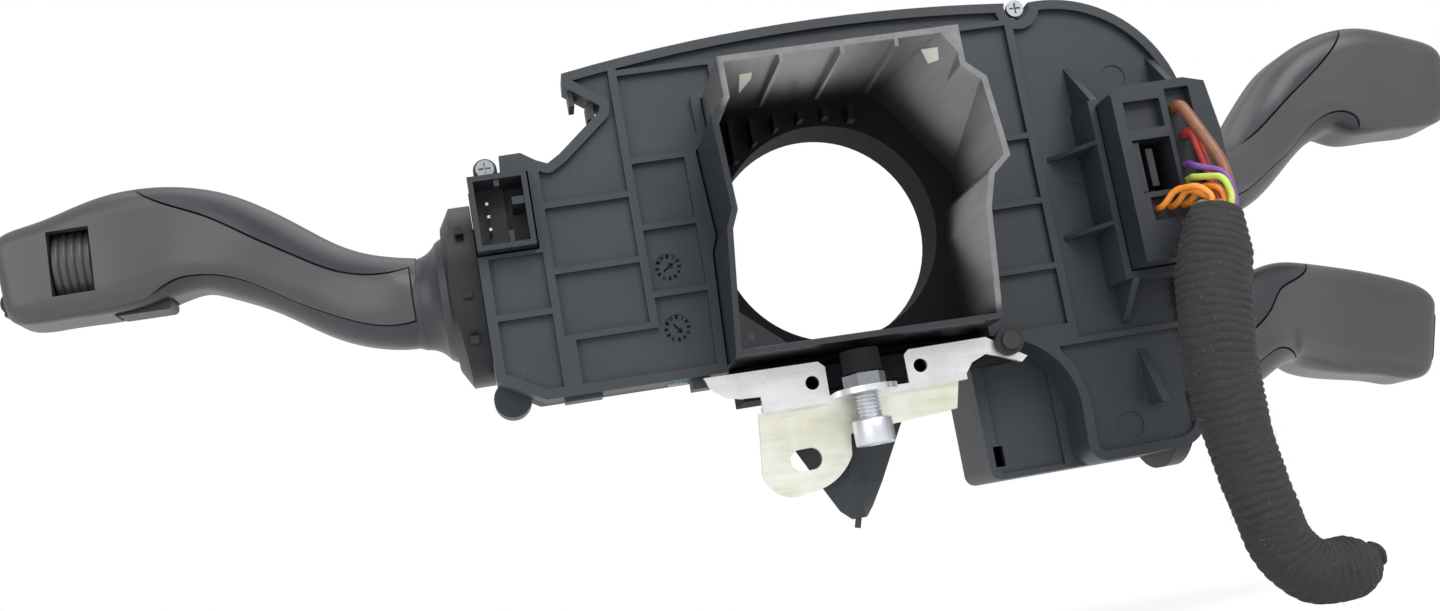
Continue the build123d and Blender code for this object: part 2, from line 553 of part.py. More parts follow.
CRUISE_SEAM_UP = [(17.6, 5.6), (25.0, 6.4), (33.0, 8.8), (37.8, 11.3), (43.6, 15.4), (48.6, 20.0),
                  (54.7, 22.3), (61.6, 25.2), (66.0, 33.0), (120.0, 38.0)]
CRUISE_SEAM_LOW = [(17.6, -5.2), (28.0, -3.0), (36.0, 0.8), (42.8, 2.4), (47.3, 1.0), (51.3, -1.1),
                   (54.4, -3.4), (58.0, -8.0), (120.0, -24.0)]


# Wiper stalk controls

def head_y():
    return HEAD_SHIFT


def wheel_axis_y():
    return HEAD_SHIFT - 1.0


def wheel_room():
    y = wheel_axis_y()
    half = WHEEL_LEN / 2 + CONTROL_GAP
    room = rod((WHEEL_U - half, y, WHEEL_W), (WHEEL_U + half, y, WHEEL_W), WHEEL_R + CONTROL_GAP)
    room += block(WHEEL_U - half, WHEEL_U + half, y - 20, y, WHEEL_W - WHEEL_WINDOW_H / 2,
                  WHEEL_W + WHEEL_WINDOW_H / 2)
    pin_reach = half + 2.0
    room += rod((WHEEL_U - pin_reach, y, WHEEL_W), (WHEEL_U + pin_reach, y, WHEEL_W),
                WHEEL_PIN_R + TRUNNION_FIT)
    return room


def thumbwheel():
    y = wheel_axis_y()
    half = WHEEL_LEN / 2
    barrel = make_face([ThreePointArc((-half, WHEEL_END_R), (0, WHEEL_R), (half, WHEEL_END_R)),
                        Polyline((half, WHEEL_END_R), (half, 0), (-half, 0), (-half, WHEEL_END_R))])
    wheel = Pos(WHEEL_U, y, WHEEL_W) * revolve(barrel, Axis.X)
    for angle in (100, 106, 112, 118):
        a = math.radians(angle)
        cut = (WHEEL_R * math.sin(a - math.pi / 2), -WHEEL_R * math.cos(a - math.pi / 2))
        z = WHEEL_W + cut[0] + 1.2
        wheel -= rod((WHEEL_U - half - 1, y + cut[1], z), (WHEEL_U + half + 1, y + cut[1], z), 0.45)
    reach = half + 1.6
    wheel += rod((WHEEL_U - reach, y, WHEEL_W), (WHEEL_U + reach, y, WHEEL_W), WHEEL_PIN_R)
    return wheel


RESET = (85.0, 100.4, 13.6, 21.6)
RESET_HALF_W = 4.8


def reset_room():
    u0, u1, w0, w1 = RESET
    y = HEAD_SHIFT
    half = RESET_HALF_W + CONTROL_GAP
    return block(u0 - CONTROL_GAP, u1 + CONTROL_GAP, y - half, y + half, w0 - 4, w1 + 1.6)


def reset_button():
    u0, u1, w0, w1 = RESET
    button = block(u0, u1, HEAD_SHIFT - RESET_HALF_W, HEAD_SHIFT + RESET_HALF_W, w0, w1)
    return fillet(button.edges().filter_by(Axis.Y).sort_by(Axis.Z)[:2], 1.4)


ROCKER = (126.9, 129.0, 17.4, 37.2)


def rocker_pivot():
    return (ROCKER[0] - 1.4, HEAD_SHIFT, (ROCKER[2] + ROCKER[3]) / 2)


def rocker_room():
    u0, u1, w0, w1 = ROCKER
    u, y, w = rocker_pivot()
    room = block(u0 - 3.3, u1 + 2, y - 6.4, y + 6.4, w0 - 0.4, w1 + 0.4)
    return room + rod((u, y - 7.6, w), (u, y + 7.6, w), 1.0 + TRUNNION_FIT)


def end_rocker():
    u0, u1, w0, w1 = ROCKER
    u, y, w = rocker_pivot()
    pad = block(u0, u1, y - 6.0, y + 6.0, w0 + 0.4, w1 - 0.4)
    for z in (w0 + 4.2, w1 - 4.2):
        pad += rod((u1 - 2.2, y - 5.0, z), (u1 - 2.2, y + 5.0, z), 3.4) & block(u0, u1 + 2, y - 6, y + 6, w0, w1)
    pad += block(u - 1.4, u0, y - 2.4, y + 2.4, w - 1.6, w + 1.6)
    return pad + rod((u, y - 7.2, w), (u, y + 7.2, w), 1.0)


CRUISE_TILT = -18.0


def cruise_button_plane():
    a = math.radians(CRUISE_TILT)
    return Plane(origin=(CRUISE_STALK[-1][0], HEAD_SHIFT, CRUISE_STALK[-1][1]), x_dir=(0, 1, 0), z_dir=(math.cos(a), 0, math.sin(a)))


def cruise_room():
    return extrude(cruise_button_plane() * RectangleRounded(14.8, 17.8, 3.4), amount=6, both=True)


def set_button():
    start = cruise_button_plane().offset(-3.6)
    return extrude(start * RectangleRounded(14.0, 17.0, 3.0), amount=5.9)


# Wiper connector

def connector_shell():
    x0, x1, z0, z1 = CONNECTOR
    shell = block(x0, x1, -4.0, PIVOT_Y - SWITCH_W / 2 - 0.6, z0, z1)
    shell -= block(x0 + 1.4, x1 - 1.4, -5, 9.0, z0 + 1.4, z1 - 1.4)
    shell += block(-90.6, -89.2, -3.4, 2, z1 - 3.2, z1 - 1.2)
    shell += block(x1 - 4.6, x1 - 1.2, -3.4, 9, 16.6, 18.6)
    shell += block(-88.6, -87.4, -3.4, 9, z0 + 1.2, z0 + 4.6)
    shell += block(-95.9, x1 - 6.4, 6.9, 9.2, z0 + 1.2, z1 - 1.2)
    # ear for the cover screw
    ear = Pos(-92.2, 27.8) * Circle(3.1) + rect(-95.3, -89.1, 25.0, 27.8)
    ear -= rect(-100, -80, 20, z1 - 0.01)
    shell += slab(ear, 1.6, 5.0)
    return shell - rod((-92.2, 0, 27.8), (-92.2, 6, 27.8), 1.3)


def connector_pins():
    return [block(-93.4, -92.7, 0.5, 6.9, z - 0.35, z + 0.35) for z in (18.6, 15.2, 11.8)]


# Plug and harness

def plug_housing():
    x0, x1, z0, z1 = SOCKET
    g = SOCKET_WALL + PLUG_GAP
    body = block(x0 + g, x1 - g, PLUG_Y0, PLUG_Y1, z0 + g, z1 - g)
    brow = poly((x0 + 1.8, z1 - 1.8), (x0 + 4.2, z1), (x1 - 6.6, z1 + 0.2), (x1 - 1.0, z1 - 1.4),
                (x1 + 0.6, z1 - 14.6), (x1 + 0.2, z0 + 16.0), (x1 - 1.2, z0 + 7.0), (x1 - 3.6, z0 + 4.6),
                (x0 + 4.4, z0 + 4.6), (x0 + 4.4, z0 + 14.0), (x0 + 2.6, z0 + 19.0), (x0 + 3.2, z0 + 44.4))
    body += slab(brow, PLUG_Y0, SOCKET_Y - 0.3)
    # finger recess, latch window and wire exits
    body -= block(72.2, 82.2, PLUG_Y0 - 1, PLUG_Y0 + 3.0, 8.4, 16.0)
    body -= block(*LATCH_BAY[:2], PLUG_Y0 - 1, PLUG_Y1 - 4, *LATCH_BAY[2:])
    body -= block(74.0, 84.0, PLUG_Y0 - 1, WIRE_Y, -16.0, -9.8)
    body -= block(84.0, 90.8, PLUG_Y0 - 1, WIRE_Y, -16.0, 18.2)
    return body


def plug_latch():
    x0, x1, z0, z1 = LATCH_BAY
    back = PLUG_Y1 - 4
    latch = block(x0 + 0.4, x1 - 0.4, back - 1.6, back, z0 + 0.4, z1 - 0.4)
    latch += block(x0 + 0.4, x0 + 2.0, PLUG_Y0 + 1.0, back, z0 + 0.4, z1 - 0.4)
    latch += block(x0 + 4.4, x0 + 6.2, PLUG_Y0 + 3.0, back, z0 + 2.0, z1 - 2.0)
    return latch


SLEEVE_POINTS = [(84.9, -33.6, -17.6), (77.4, -36.0, -38.7), (75.4, -35.6, -63.3), (78.3, -34.4, -86.5),
                 (82.9, -33.0, -106.4), (97.5, -31.6, -110.6)]
WRAP_TIP, WRAP_R0, WRAP_R1 = (107.2, -31.0, -106.6), 8.0, 4.6


def cord_path(points):
    """Straight runs joined by tangent arcs, each 0.45 of its shorter run."""
    radii = []
    for a, b, c in zip(points, points[1:], points[2:]):
        before, after = Vector(*b) - Vector(*a), Vector(*c) - Vector(*b)
        turn = math.radians(before.get_angle(after))
        radii.append(0.45 * min(before.length, after.length) / math.tan(turn / 2))
    if not radii:
        return Line(*points), radii
    return FilletPolyline(*points, radius=radii), radii


def tube(points, radius):
    path, radii = cord_path(points)
    plane = Plane(origin=path @ 0, z_dir=path % 0)
    print("cord radii", [round(r, 1) for r in radii], "length", round(path.length, 1))
    return sweep(plane * Circle(radius), path=path)


def sleeve_mouth():
    start = Vector(*SLEEVE_POINTS[0])
    return Plane(origin=start, x_dir=(1, 0, 0), z_dir=Vector(*SLEEVE_POINTS[1]) - start)


def wrap_end():
    """Tapered tape wrap over the folded end of the harness."""
    last = Vector(*SLEEVE_POINTS[-1])
    start = Plane(origin=last, z_dir=last - Vector(*SLEEVE_POINTS[-2]))
    tip = Plane(origin=WRAP_TIP, z_dir=(0.95, 0.05, 0.3))
    return loft([start * Circle(WRAP_R0), tip * Circle(WRAP_R1)]) + extrude(tip * Circle(1.6), amount=2.4)


def harness_sleeve():
    """Taped tail: it widens from its mouth, then keeps one thickness down to the bend."""
    start = Vector(*SLEEVE_POINTS[0])
    way = (Vector(*SLEEVE_POINTS[1]) - start).normalized()
    full = start + way * SLEEVE_MOUTH_L
    mouth = loft([Plane(origin=start, z_dir=way) * Circle(SLEEVE_MOUTH_R),
                  Plane(origin=full, z_dir=way) * Circle(SLEEVE_R)])
    return mouth + tube([tuple(full)] + SLEEVE_POINTS[1:], SLEEVE_R)


# colour: radius, then for each wire its hole (x, z), loop points and place in the sleeve's mouth
WIRES = {
    "brown": (1.5, [((86.8, 13.2), [(88.2, -27.0, 6.0), (91.2, -31.0, -6.0)], (4.7, -1.4))]),
    "red": (1.2, [((88.4, 6.0), [(89.2, -25.2, -4.0)], (2.6, -4.2))]),
    "violet": (0.8, [((85.6, -2.6), [(84.6, -28.0, -4.4), (89.6, -34.4, -8.4)], (4.1, 2.0))]),
    "green": (0.85, [((85.6, -6.4), [(83.2, -28.4, -7.4), (87.4, -36.4, -9.8)], (2.1, 4.2))]),
    "orange": (0.85, [((76.6, -12.6), [(78.8, -26.4, -9.6), (82.0, -33.0, -10.6)], (-1.6, 1.2)),
                      ((80.2, -12.6), [(81.8, -27.6, -9.8)], (-0.2, -1.2)),
                      ((83.8, -12.6), [(84.8, -29.5, -10.0), (86.6, -34.8, -12.2)], (1.4, 1.8))]),
    "cream": (0.85, [((86.4, -13.4), [(86.4, -26.0, -14.0)], (2.0, -1.3))]),
}


def group(shapes):
    """Separate solids that share one node."""
    return Compound(list(shapes))


def wire(radius, hole, loop, seat):
    """Round wire from its hole in the plug, over its loop and square into the sleeve's mouth."""
    x, z = hole
    mouth = sleeve_mouth()
    end = mouth.from_local_coords(Vector(*seat, 0))
    before = mouth.from_local_coords(Vector(*seat, -3.2))
    points = [(x, WIRE_Y, z), (x, WIRE_Y - 4.6, z), *loop, tuple(before), tuple(end)]
    return tube(points, radius)


# Clamp hardware

def clamp_bracket():
    """Bright plated sheet: two ears, a bottom flange and the tongue that the bolt pulls on."""
    y1 = SHEET_Y + SHEET_T
    face = poly((-45.8, -35.6), (-44.4, -38.6), (-41.0, -41.4), (-36.4, -42.4), (-32.2, -42.6),
                (SHELF_X0, SHELF_Z), (-14.4, SHELF_Z), (-14.3, -37.6), (-15.9, -36.0))
    face += poly((6.8, SHELF_Z), (6.8, -37.8), (8.2, -36.6), (29.2, -36.6), (39.4, -43.2), (37.7, -44.5),
                 (32.1, -42.3), (28.4, -41.0), (24.4, -42.6), (SHELF_X1, SHELF_Z))
    for x, z in EAR_HOLES:
        face -= Pos(x, z) * Circle(EAR_HOLE_R)
    face -= Pos(*GROMMET) * Circle(2.6)
    sheet = slab(face, SHEET_Y, y1)
    shelf = block(SHELF_X0, SHELF_X1, SHEET_Y, y1 + 3.0, SHELF_Z - SHEET_T, SHELF_Z)
    sheet += shelf
    tongue = Plane(origin=(0, 0, SHELF_Z - SHEET_T)) * (rect(BOLT_X - 8, BOLT_X + 8, BOLT_Y, SHEET_Y)
                                                       + Pos(BOLT_X, BOLT_Y) * Circle(8))
    sheet += extrude(tongue, amount=SHEET_T)
    return sheet - rod((BOLT_X, BOLT_Y, -50), (BOLT_X, BOLT_Y, -40), BOLT_R + 0.3)


def ground_bracket():
    """Yellow passivated strip under the ears, with the slotted fixing tab."""
    top = SHELF_Z - SHEET_T
    tab = make_face([
        Polyline((20.2, top), (18.5, -53.6), (-10.5, -55.6), (-11.2, -61.0)),
        ThreePointArc((-11.2, -61.0), (-16.0, -66.2), (-24.0, -68.6)),
        ThreePointArc((-24.0, -68.6), (-31.6, -67.6), (-34.9, -62.6)),
        Polyline((-34.9, -62.6), (-33.2, top), (20.2, top)),
    ])
    tab -= Pos(-23.1, -60.2) * SlotOverall(8.2, 5.6)
    return slab(tab, SHEET_Y + SHEET_T, SHEET_Y + 2 * SHEET_T)


def clamp_bolt():
    head_top = -53.2
    head = rod((BOLT_X, BOLT_Y, head_top - BOLT_HEAD_H), (BOLT_X, BOLT_Y, head_top), BOLT_HEAD_R)
    socket = Plane(origin=(BOLT_X, BOLT_Y, head_top - BOLT_HEAD_H)) * RegularPolygon(2.9, 6)
    head -= extrude(socket, amount=3)
    return head + rod((BOLT_X, BOLT_Y, head_top), (BOLT_X, BOLT_Y, -38.6), BOLT_R)


def clamp_nut():
    face = Plane(origin=(BOLT_X, BOLT_Y, SHELF_Z)) * (RegularPolygon(5.6, 6) - Circle(BOLT_R + 0.05))
    return extrude(face, amount=3.4)


GROMMET = (34.8, -38.8)


def grommet():
    """Rubber bush round the bracket screw at the right end."""
    x, z = GROMMET
    rear = slab(Pos(x, z) * (Circle(3.7) - Circle(1.5)), SHEET_Y - 2.4, SHEET_Y)
    return rear + slab(Pos(x, z) * (Circle(2.5) - Circle(1.5)), SHEET_Y, SHEET_Y + SHEET_T)


def bracket_screw():
    x, z = GROMMET
    return rod((x, SHEET_Y - 3.8, z), (x, SHEET_Y - 2.4, z), 2.4) + rod((x, SHEET_Y - 2.4, z), (x, 2, z), 1.45)


def screw_boss_cut():
    x, z = GROMMET
    return rod((x, -20, z), (x, 3, z), 1.5)


def cover_screws():
    screws = []
    for x, z, y in ((-92.2, 27.8, 1.6), (57.9, 52.7, 2.6)):
        screw = rod((x, y - 1.7, z), (x, y, z), 2.4) + rod((x, y, z), (x, y + 3.2, z), 1.25)
        slot = block(x - 1.5, x + 1.5, y - 2, y - 0.9, z - 0.25, z + 0.25)
        slot += block(x - 0.25, x + 0.25, y - 2, y - 0.9, z - 1.5, z + 1.5)
        screws.append(screw - slot)
    return screws


def locating_spike():
    """Five-sided moulded dart under the sill, with a small pin at its tip."""
    def ring_at(z, x0, x1, ridge, y0, y1):
        mid = (y0 + y1) / 2
        return Plane(origin=(0, 0, z)) * poly((x0, mid), (ridge - 1.2, y0), (ridge + 1.2, y0), (x1, mid),
                                             (x1 - 1.0, y1), (x0 + 1.0, y1))
    rings = [ring_at(SILL_Z, -31.0, 11.5, -8.6, 1.0, 11.6), ring_at(-68.5, -18.6, -2.9, -10.6, 1.0, 9.0),
             ring_at(-74.5, -15.4, -6.6, -10.8, 2.4, 8.4), ring_at(-77.0, -12.6, -8.6, -10.6, 4.0, 7.0)]
    dart = loft(rings, ruled=True)
    return dart + rod((-10.8, 5.5, -76.6), (-11.6, 5.5, -79.4), 0.8)


def harness_clip():
    """Round lug at the lower left corner of the housing."""
    face = Pos(-94.0, -31.2) * Circle(4.9) - housing_outline()
    return slab(face, COVER_Y1 + 2.0, COVER_Y1 + 10.0)


def cruise_housing():
    x, y, z = CRUISE_PIVOT
    half_w = SWITCH_W / 2
    body = block(CRUISE_BOX_X0, x + SWITCH_U1, 14.0, y + half_w, -73.5, LOWER_Z)
    body = fillet(body.edges().filter_by(Axis.Y).sort_by(Axis.X)[:2].sort_by(Axis.Z)[:1], 3.0)
    step = (cover_outline() & rect(30, x + SWITCH_U1, -80, LOWER_Z))
    body += slab(step, COVER_Y1, 14.0)
    body -= block(CRUISE_BOX_X0 + 3.0, 50.0, 13.0, 15.6, -72.0, -40.0)
    body -= block(CRUISE_BOX_X0 + 1.8, CRUISE_BOX_X0 + 5.0, 13.0, 22.0, -70.0, -64.4)
    # joint cavity
    cav_w, cav_h = SWITCH_CAVITY_W / 2, SWITCH_CAVITY_H / 2
    at = Pos(x, y, z)
    body -= at * block(-TAIL_END, SWITCH_U1 + 1, -cav_w, cav_w, -cav_h, cav_h)
    body -= at * (ball(DETENT_R) & block(-DETENT_R - 1, -TAIL_END + 0.1, -8, 8, -11, 11))
    body -= at * rod((0, -SWITCH_W, 0), (0, SWITCH_W, 0), TRUNNION_R + TRUNNION_FIT)
    # hollow of the spare bay to the left of the joint
    body -= block(CRUISE_BOX_X0 + 2.2, x - 30.0, 18.0, y + half_w - 2.0, -71.0, LOWER_Z - 2.4)
    return body


# Assembly

def place(shape, pivot, left=False):
    if left:
        shape = mirror(shape, about=Plane.YZ)
    return Pos(*pivot) * shape


def build():
    nodes = {}
    nodes["rear_cover"] = rear_cover()
    nodes["column_shroud"] = column_shroud()
    nodes["shroud_pads"] = group([shroud_pad_left(0.03), shroud_pad_right(0.03)])
    nodes["front_housing"] = front_housing() - screw_boss_cut()
    nodes["main_board"] = main_board()
    nodes["steering_angle_ring"] = angle_ring()
    nodes["angle_code_ring"] = code_ring()
    nodes["cancel_cam_ring"] = cancel_cam()

    stalks = {
        "wiper": (WIPER_PIVOT, True, WIPER_STALK, WIPER_SEAM_UP, WIPER_SEAM_LOW, 1.5),
        "turn": (TURN_PIVOT, False, TURN_STALK, TURN_SEAM_UP, TURN_SEAM_LOW, 0.0),
        "cruise": (CRUISE_PIVOT, False, CRUISE_STALK, CRUISE_SEAM_UP, CRUISE_SEAM_LOW, 0.0),
    }
    rooms = {"wiper": wheel_room() + reset_room() + rocker_room(), "cruise": cruise_room()}
    for name, (pivot, left, stations, upper, lower, root) in stalks.items():
        body, inlay = stalk_shells(stations, upper, lower)
        if name in rooms:
            body -= rooms[name]
            inlay -= rooms[name]
        parts = {
            "flange": stalk_flange(root),
            "gimbal": gimbal(),
            "lever": body,
            "rear_inlay": inlay,
            "detent_plunger": detent_plunger(),
            "detent_spring": detent_spring(),
        }
        if name != "cruise":
            parts["switch_housing"] = switch_housing(46.0 if name == "wiper" else -SWITCH_U0)
        for part, shape in parts.items():
            nodes[f"{name}_{part}"] = place(shape, pivot, left)
    nodes["cruise_switch_housing"] = cruise_housing()

    nodes["wiper_thumbwheel"] = place(thumbwheel(), WIPER_PIVOT, True)
    nodes["wiper_reset_button"] = place(reset_button(), WIPER_PIVOT, True)
    nodes["wiper_end_rocker"] = place(end_rocker(), WIPER_PIVOT, True)
    nodes["cruise_set_button"] = place(set_button(), CRUISE_PIVOT)
    nodes["wiper_connector_shell"] = connector_shell()
    nodes["wiper_connector_pins"] = group(connector_pins())

    nodes["plug_housing"] = plug_housing()
    nodes["plug_latch"] = plug_latch()
    nodes["harness_sleeve"] = harness_sleeve()
    nodes["harness_end_wrap"] = wrap_end()
    for colour, (radius, routes) in WIRES.items():
        nodes[f"wires_{colour}"] = group(wire(radius, *route) for route in routes)

    nodes["clamp_bracket"] = clamp_bracket()
    nodes["ground_bracket"] = ground_bracket()
    nodes["clamp_bolt"] = clamp_bolt()
    nodes["clamp_nut"] = clamp_nut()
    nodes["bracket_grommet"] = grommet()
    nodes["bracket_screw"] = bracket_screw()
    nodes["cover_screws"] = group(cover_screws())
    nodes["locating_spike"] = locating_spike()
    nodes["harness_clip"] = harness_clip()
    return nodes


def main():
    os.makedirs("parts", exist_ok=True)
    to_bore = Pos(-BORE_X, -(COLLAR_Y0 + COLLAR_Y1) / 2, -BORE_Z)
    for name, shape in build().items():
        export_step(to_bore * shape, f"parts/{name}.step")


if __name__ == "__main__":
    main()
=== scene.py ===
"""Studio scene of a steering column combination switch, laid out as a Blender add-on."""
import json
import math

import bpy
import numpy as np
from bpy.props import FloatProperty, FloatVectorProperty, IntProperty, PointerProperty
from mathutils import Matrix, Vector


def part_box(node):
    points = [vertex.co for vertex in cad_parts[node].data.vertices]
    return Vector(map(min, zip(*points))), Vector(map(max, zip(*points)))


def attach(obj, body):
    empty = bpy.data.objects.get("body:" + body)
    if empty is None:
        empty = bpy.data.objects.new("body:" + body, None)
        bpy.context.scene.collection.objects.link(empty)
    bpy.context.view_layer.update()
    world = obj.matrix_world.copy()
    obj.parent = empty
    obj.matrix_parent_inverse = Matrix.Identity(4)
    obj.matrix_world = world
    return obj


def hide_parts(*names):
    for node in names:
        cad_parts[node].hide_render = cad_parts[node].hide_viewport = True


bl_info = {
    "name": "Combination stalk switch",
    "version": (1, 0, 0),
    "blender": (4, 5, 0),
    "location": "3D View > Sidebar > Stalk switch",
    "description": "Finishes, taped harness and studio for a steering column combination switch",
    "category": "Object",
}

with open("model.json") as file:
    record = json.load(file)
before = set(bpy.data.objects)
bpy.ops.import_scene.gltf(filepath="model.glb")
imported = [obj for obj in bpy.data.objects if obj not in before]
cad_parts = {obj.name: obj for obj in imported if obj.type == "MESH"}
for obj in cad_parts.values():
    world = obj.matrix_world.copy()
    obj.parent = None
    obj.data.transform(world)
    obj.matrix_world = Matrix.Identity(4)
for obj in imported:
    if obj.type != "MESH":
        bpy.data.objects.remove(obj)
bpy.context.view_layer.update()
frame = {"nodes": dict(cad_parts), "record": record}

MM = 0.001
STALKS = ("wiper", "turn", "cruise")

# The photograph's camera: its place in metres, the ways of its right side and its view, and its lens in mm
CAMERA_PLACE = (-0.0928, -0.4137, -0.0802)
CAMERA_RIGHT, CAMERA_VIEW = (0.978, -0.117, -0.173), (0.144, 0.977, 0.156)
CAMERA_LENS, SENSOR_WIDTH = 38.78, 36.0

# Each lamp: place in metres, share of the key light's power and size in metres
LAMPS = {
    "key": ((0.30, -0.85, 0.80), 1.0, 0.9),
    "fill": ((-0.75, -0.8, 0.30), 0.35, 0.9),
    "low": ((0.45, -0.8, -0.55), 0.65, 0.8),
    "top": ((0.1, 0.15, 1.1), 0.35, 1.0),
}
LAMP_AIM = (0, 0, -0.01)
FLOOR_HALF = 6.0
FLOOR_FADE = (0.35, 0.8)

# Noise scales of the finishes, in waves per metre
BROAD, GRAIN, SATIN_GRAIN = 38.0, 2400.0, 3000.0

# Where the shroud's colour turns pale as painted light (inner side of its left and lower wall) and dark as
# painted shade (outside, and down the duct), in metres
LIT_WALL_LEFT, LIT_WALL_LOW, DUCT_SHADE_DEPTH = (-0.0315, -0.0285), (-0.0325, -0.0295), (-0.034, -0.010)

# Where the tray turns from near black painted shade to its plain colour: depth, and distance from the bore's
# axis
TRAY_DEPTH, BORE_WALL = (0.008, 0.015), (0.0322, 0.0332)

# Control points of the taped harness, in metres, from the plug's wires to the folded end
HARNESS_ROUTE = [(0.0879, -0.0536, -0.0179), (0.0804, -0.0560, -0.0390), (0.0784, -0.0556, -0.0636),
                 (0.0813, -0.0544, -0.0868), (0.0862, -0.0530, -0.1072), (0.1005, -0.0516, -0.1112),
                 (0.1112, -0.0510, -0.1069)]


# Shader maths

class Sock:
    """A shader socket that can be used in Python arithmetic; each operator adds its Math node."""

    def __init__(self, tree, socket):
        self.tree = tree
        self.socket = socket

    def _math(self, operation, first, second=None):
        values = [v for v in (first, second) if v is not None]
        return self.tree.add("ShaderNodeMath", {"operation": operation}, dict(enumerate(values)))

    def __add__(self, other):
        return self._math("ADD", self, other)

    def __radd__(self, other):
        return self._math("ADD", other, self)

    def __sub__(self, other):
        return self._math("SUBTRACT", self, other)

    def __rsub__(self, other):
        return self._math("SUBTRACT", other, self)

    def __mul__(self, other):
        return self._math("MULTIPLY", self, other)

    def __rmul__(self, other):
        return self._math("MULTIPLY", other, self)

    def __pow__(self, other):
        return self._math("POWER", self, other)

    def wave(self):
        return self._math("SINE", self)

    def most(self, other):
        return self._math("MAXIMUM", self, other)

    def step(self, low, high):
        """0 below low, 1 above high and a smooth ramp between."""
        settings = {"interpolation_type": "SMOOTHSTEP"}
        return self.tree.add("ShaderNodeMapRange", settings, {0: self, 1: low, 2: high, 3: 0.0, 4: 1.0})


class Shader:
    """One material's or world's node tree."""

    def __init__(self, owner):
        owner.use_nodes = True
        self.nodes = owner.node_tree.nodes
        self.links = owner.node_tree.links
        self.nodes.clear()

    def add(self, kind, settings=None, inputs=None, output=0):
        """Adds a node: its settings first, then a value or a link for each input named or numbered."""
        node = self.nodes.new(kind)
        for key, value in (settings or {}).items():
            setattr(node, key, value)
        for key, value in (inputs or {}).items():
            socket = node.inputs[key]
            if isinstance(value, Sock):
                self.links.new(value.socket, socket)
            elif hasattr(socket.default_value, "__len__") and not hasattr(value, "__len__"):
                socket.default_value = [value] * len(socket.default_value)
            elif hasattr(value, "__len__") and len(value) == 3 and len(socket.default_value) == 4:
                socket.default_value = (*value, 1.0)
            else:
                socket.default_value = value
        return Sock(self, node.outputs[output])

    def place(self):
        """Object coordinates, in metres."""
        return self.add("ShaderNodeTexCoord", output=3)

    def split(self, vector):
        node = self.add("ShaderNodeSeparateXYZ", None, {0: vector}).socket.node
        return [Sock(self, out) for out in node.outputs]

    def noise(self, vector, scale, detail=2.0, roughness=0.5):
        return self.add("ShaderNodeTexNoise", None,
                        {"Vector": vector, "Scale": scale, "Detail": detail, "Roughness": roughness})

    def cells(self, vector, scale):
        return self.add("ShaderNodeTexVoronoi", None, {"Vector": vector, "Scale": scale})

    def mix(self, factor, low, high):
        return self.add("ShaderNodeMix", {"data_type": "RGBA"}, {0: factor, 6: low, 7: high}, output=2)

    def bump(self, height, strength, distance):
        return self.add("ShaderNodeBump", None,
                        {"Strength": strength, "Distance": distance, "Height": height})

    def surface(self, shader):
        out = self.nodes.new("ShaderNodeOutputMaterial")
        self.links.new(shader.socket, out.inputs[0])

    def principled(self, **inputs):
        names = {key.replace("_", " ").title().replace("Ior", "IOR"): value for key, value in inputs.items()}
        self.surface(self.add("ShaderNodeBsdfPrincipled", None, names))


def material(name, paint):
    """Makes a material whose node tree is drawn by paint(shader)."""
    made = bpy.data.materials.new(name)
    paint(Shader(made))
    return made


def scaled(colour, factor):
    return tuple(min(1.0, c * factor) for c in colour)


def moulded(colour, rough=0.5, grain=GRAIN, depth=0.03, dust=0.04, mottle=0.12, shine=0.36):
    """Moulded plastic: spark-eroded grain of a depth in mm, soft tone changes, faint scuffs and dust."""
    def paint(s):
        place = s.place()
        tone = s.noise(place, BROAD, 3.0)
        fine = s.noise(place, grain, 3.0, 0.6)
        specks = s.noise(place, 1500.0, 1.0).step(0.70, 0.78) * s.noise(place, 90.0, 2.0).step(0.45, 0.75)
        base = s.mix(tone.step(0.3, 0.7), scaled(colour, 1 - mottle), scaled(colour, 1 + mottle))
        base = s.mix(specks * dust, base, (0.55, 0.55, 0.55))
        scuff = s.noise(place, 130.0, 6.0, 0.7).step(0.56, 0.74)
        s.principled(base_color=base, roughness=rough + (fine - 0.5) * 0.16 - scuff * 0.06,
                     specular_ior_level=shine, normal=s.bump(fine, 0.35, depth * MM))
    return paint


def duct_plastic(colour, painted_shade_colour):
    """Smooth shroud plastic with painted light: pale as painted light where the walls face the opening, dark
    as painted shade outside and down the duct.
    """
    def paint(s):
        place = s.place()
        x, y, z = s.split(place)
        # Painted light: the inner side of the left and lower walls, which face the opening, gets the pale
        # lit colour
        painted_lit_walls = x.step(*LIT_WALL_LEFT) * z.step(*LIT_WALL_LOW)
        # Painted shade: the colour darkens down the duct
        depth = y.step(*DUCT_SHADE_DEPTH)
        flow = s.noise(s.add("ShaderNodeCombineXYZ", None, {0: x * 300.0, 1: y * 26.0, 2: z * 300.0}),
                       1.0, 4.0, 0.6)
        cloud = s.noise(place, 60.0, 3.0)
        scuff = s.noise(place, 210.0, 6.0, 0.72).step(0.58, 0.74)
        # Lit tone of the walls with a random flow pattern; outside the lit walls and down the duct the
        # colour is the painted shade
        painted_lit_tone = s.mix(flow.step(0.3, 0.75), scaled(colour, 0.86), scaled(colour, 1.12))
        base = s.mix(painted_lit_walls * (1.0 - depth * 0.94), painted_shade_colour, painted_lit_tone)
        base = s.mix(scuff * painted_lit_walls * 0.10, base, (0.5, 0.5, 0.5))
        fine = s.noise(place, GRAIN, 3.0, 0.6)
        s.principled(base_color=base, roughness=0.30 + (cloud - 0.5) * 0.14 + scuff * 0.08,
                     specular_ior_level=0.42, normal=s.bump(fine * 0.5 + flow * 0.4, 0.25, 0.03 * MM))
    return paint


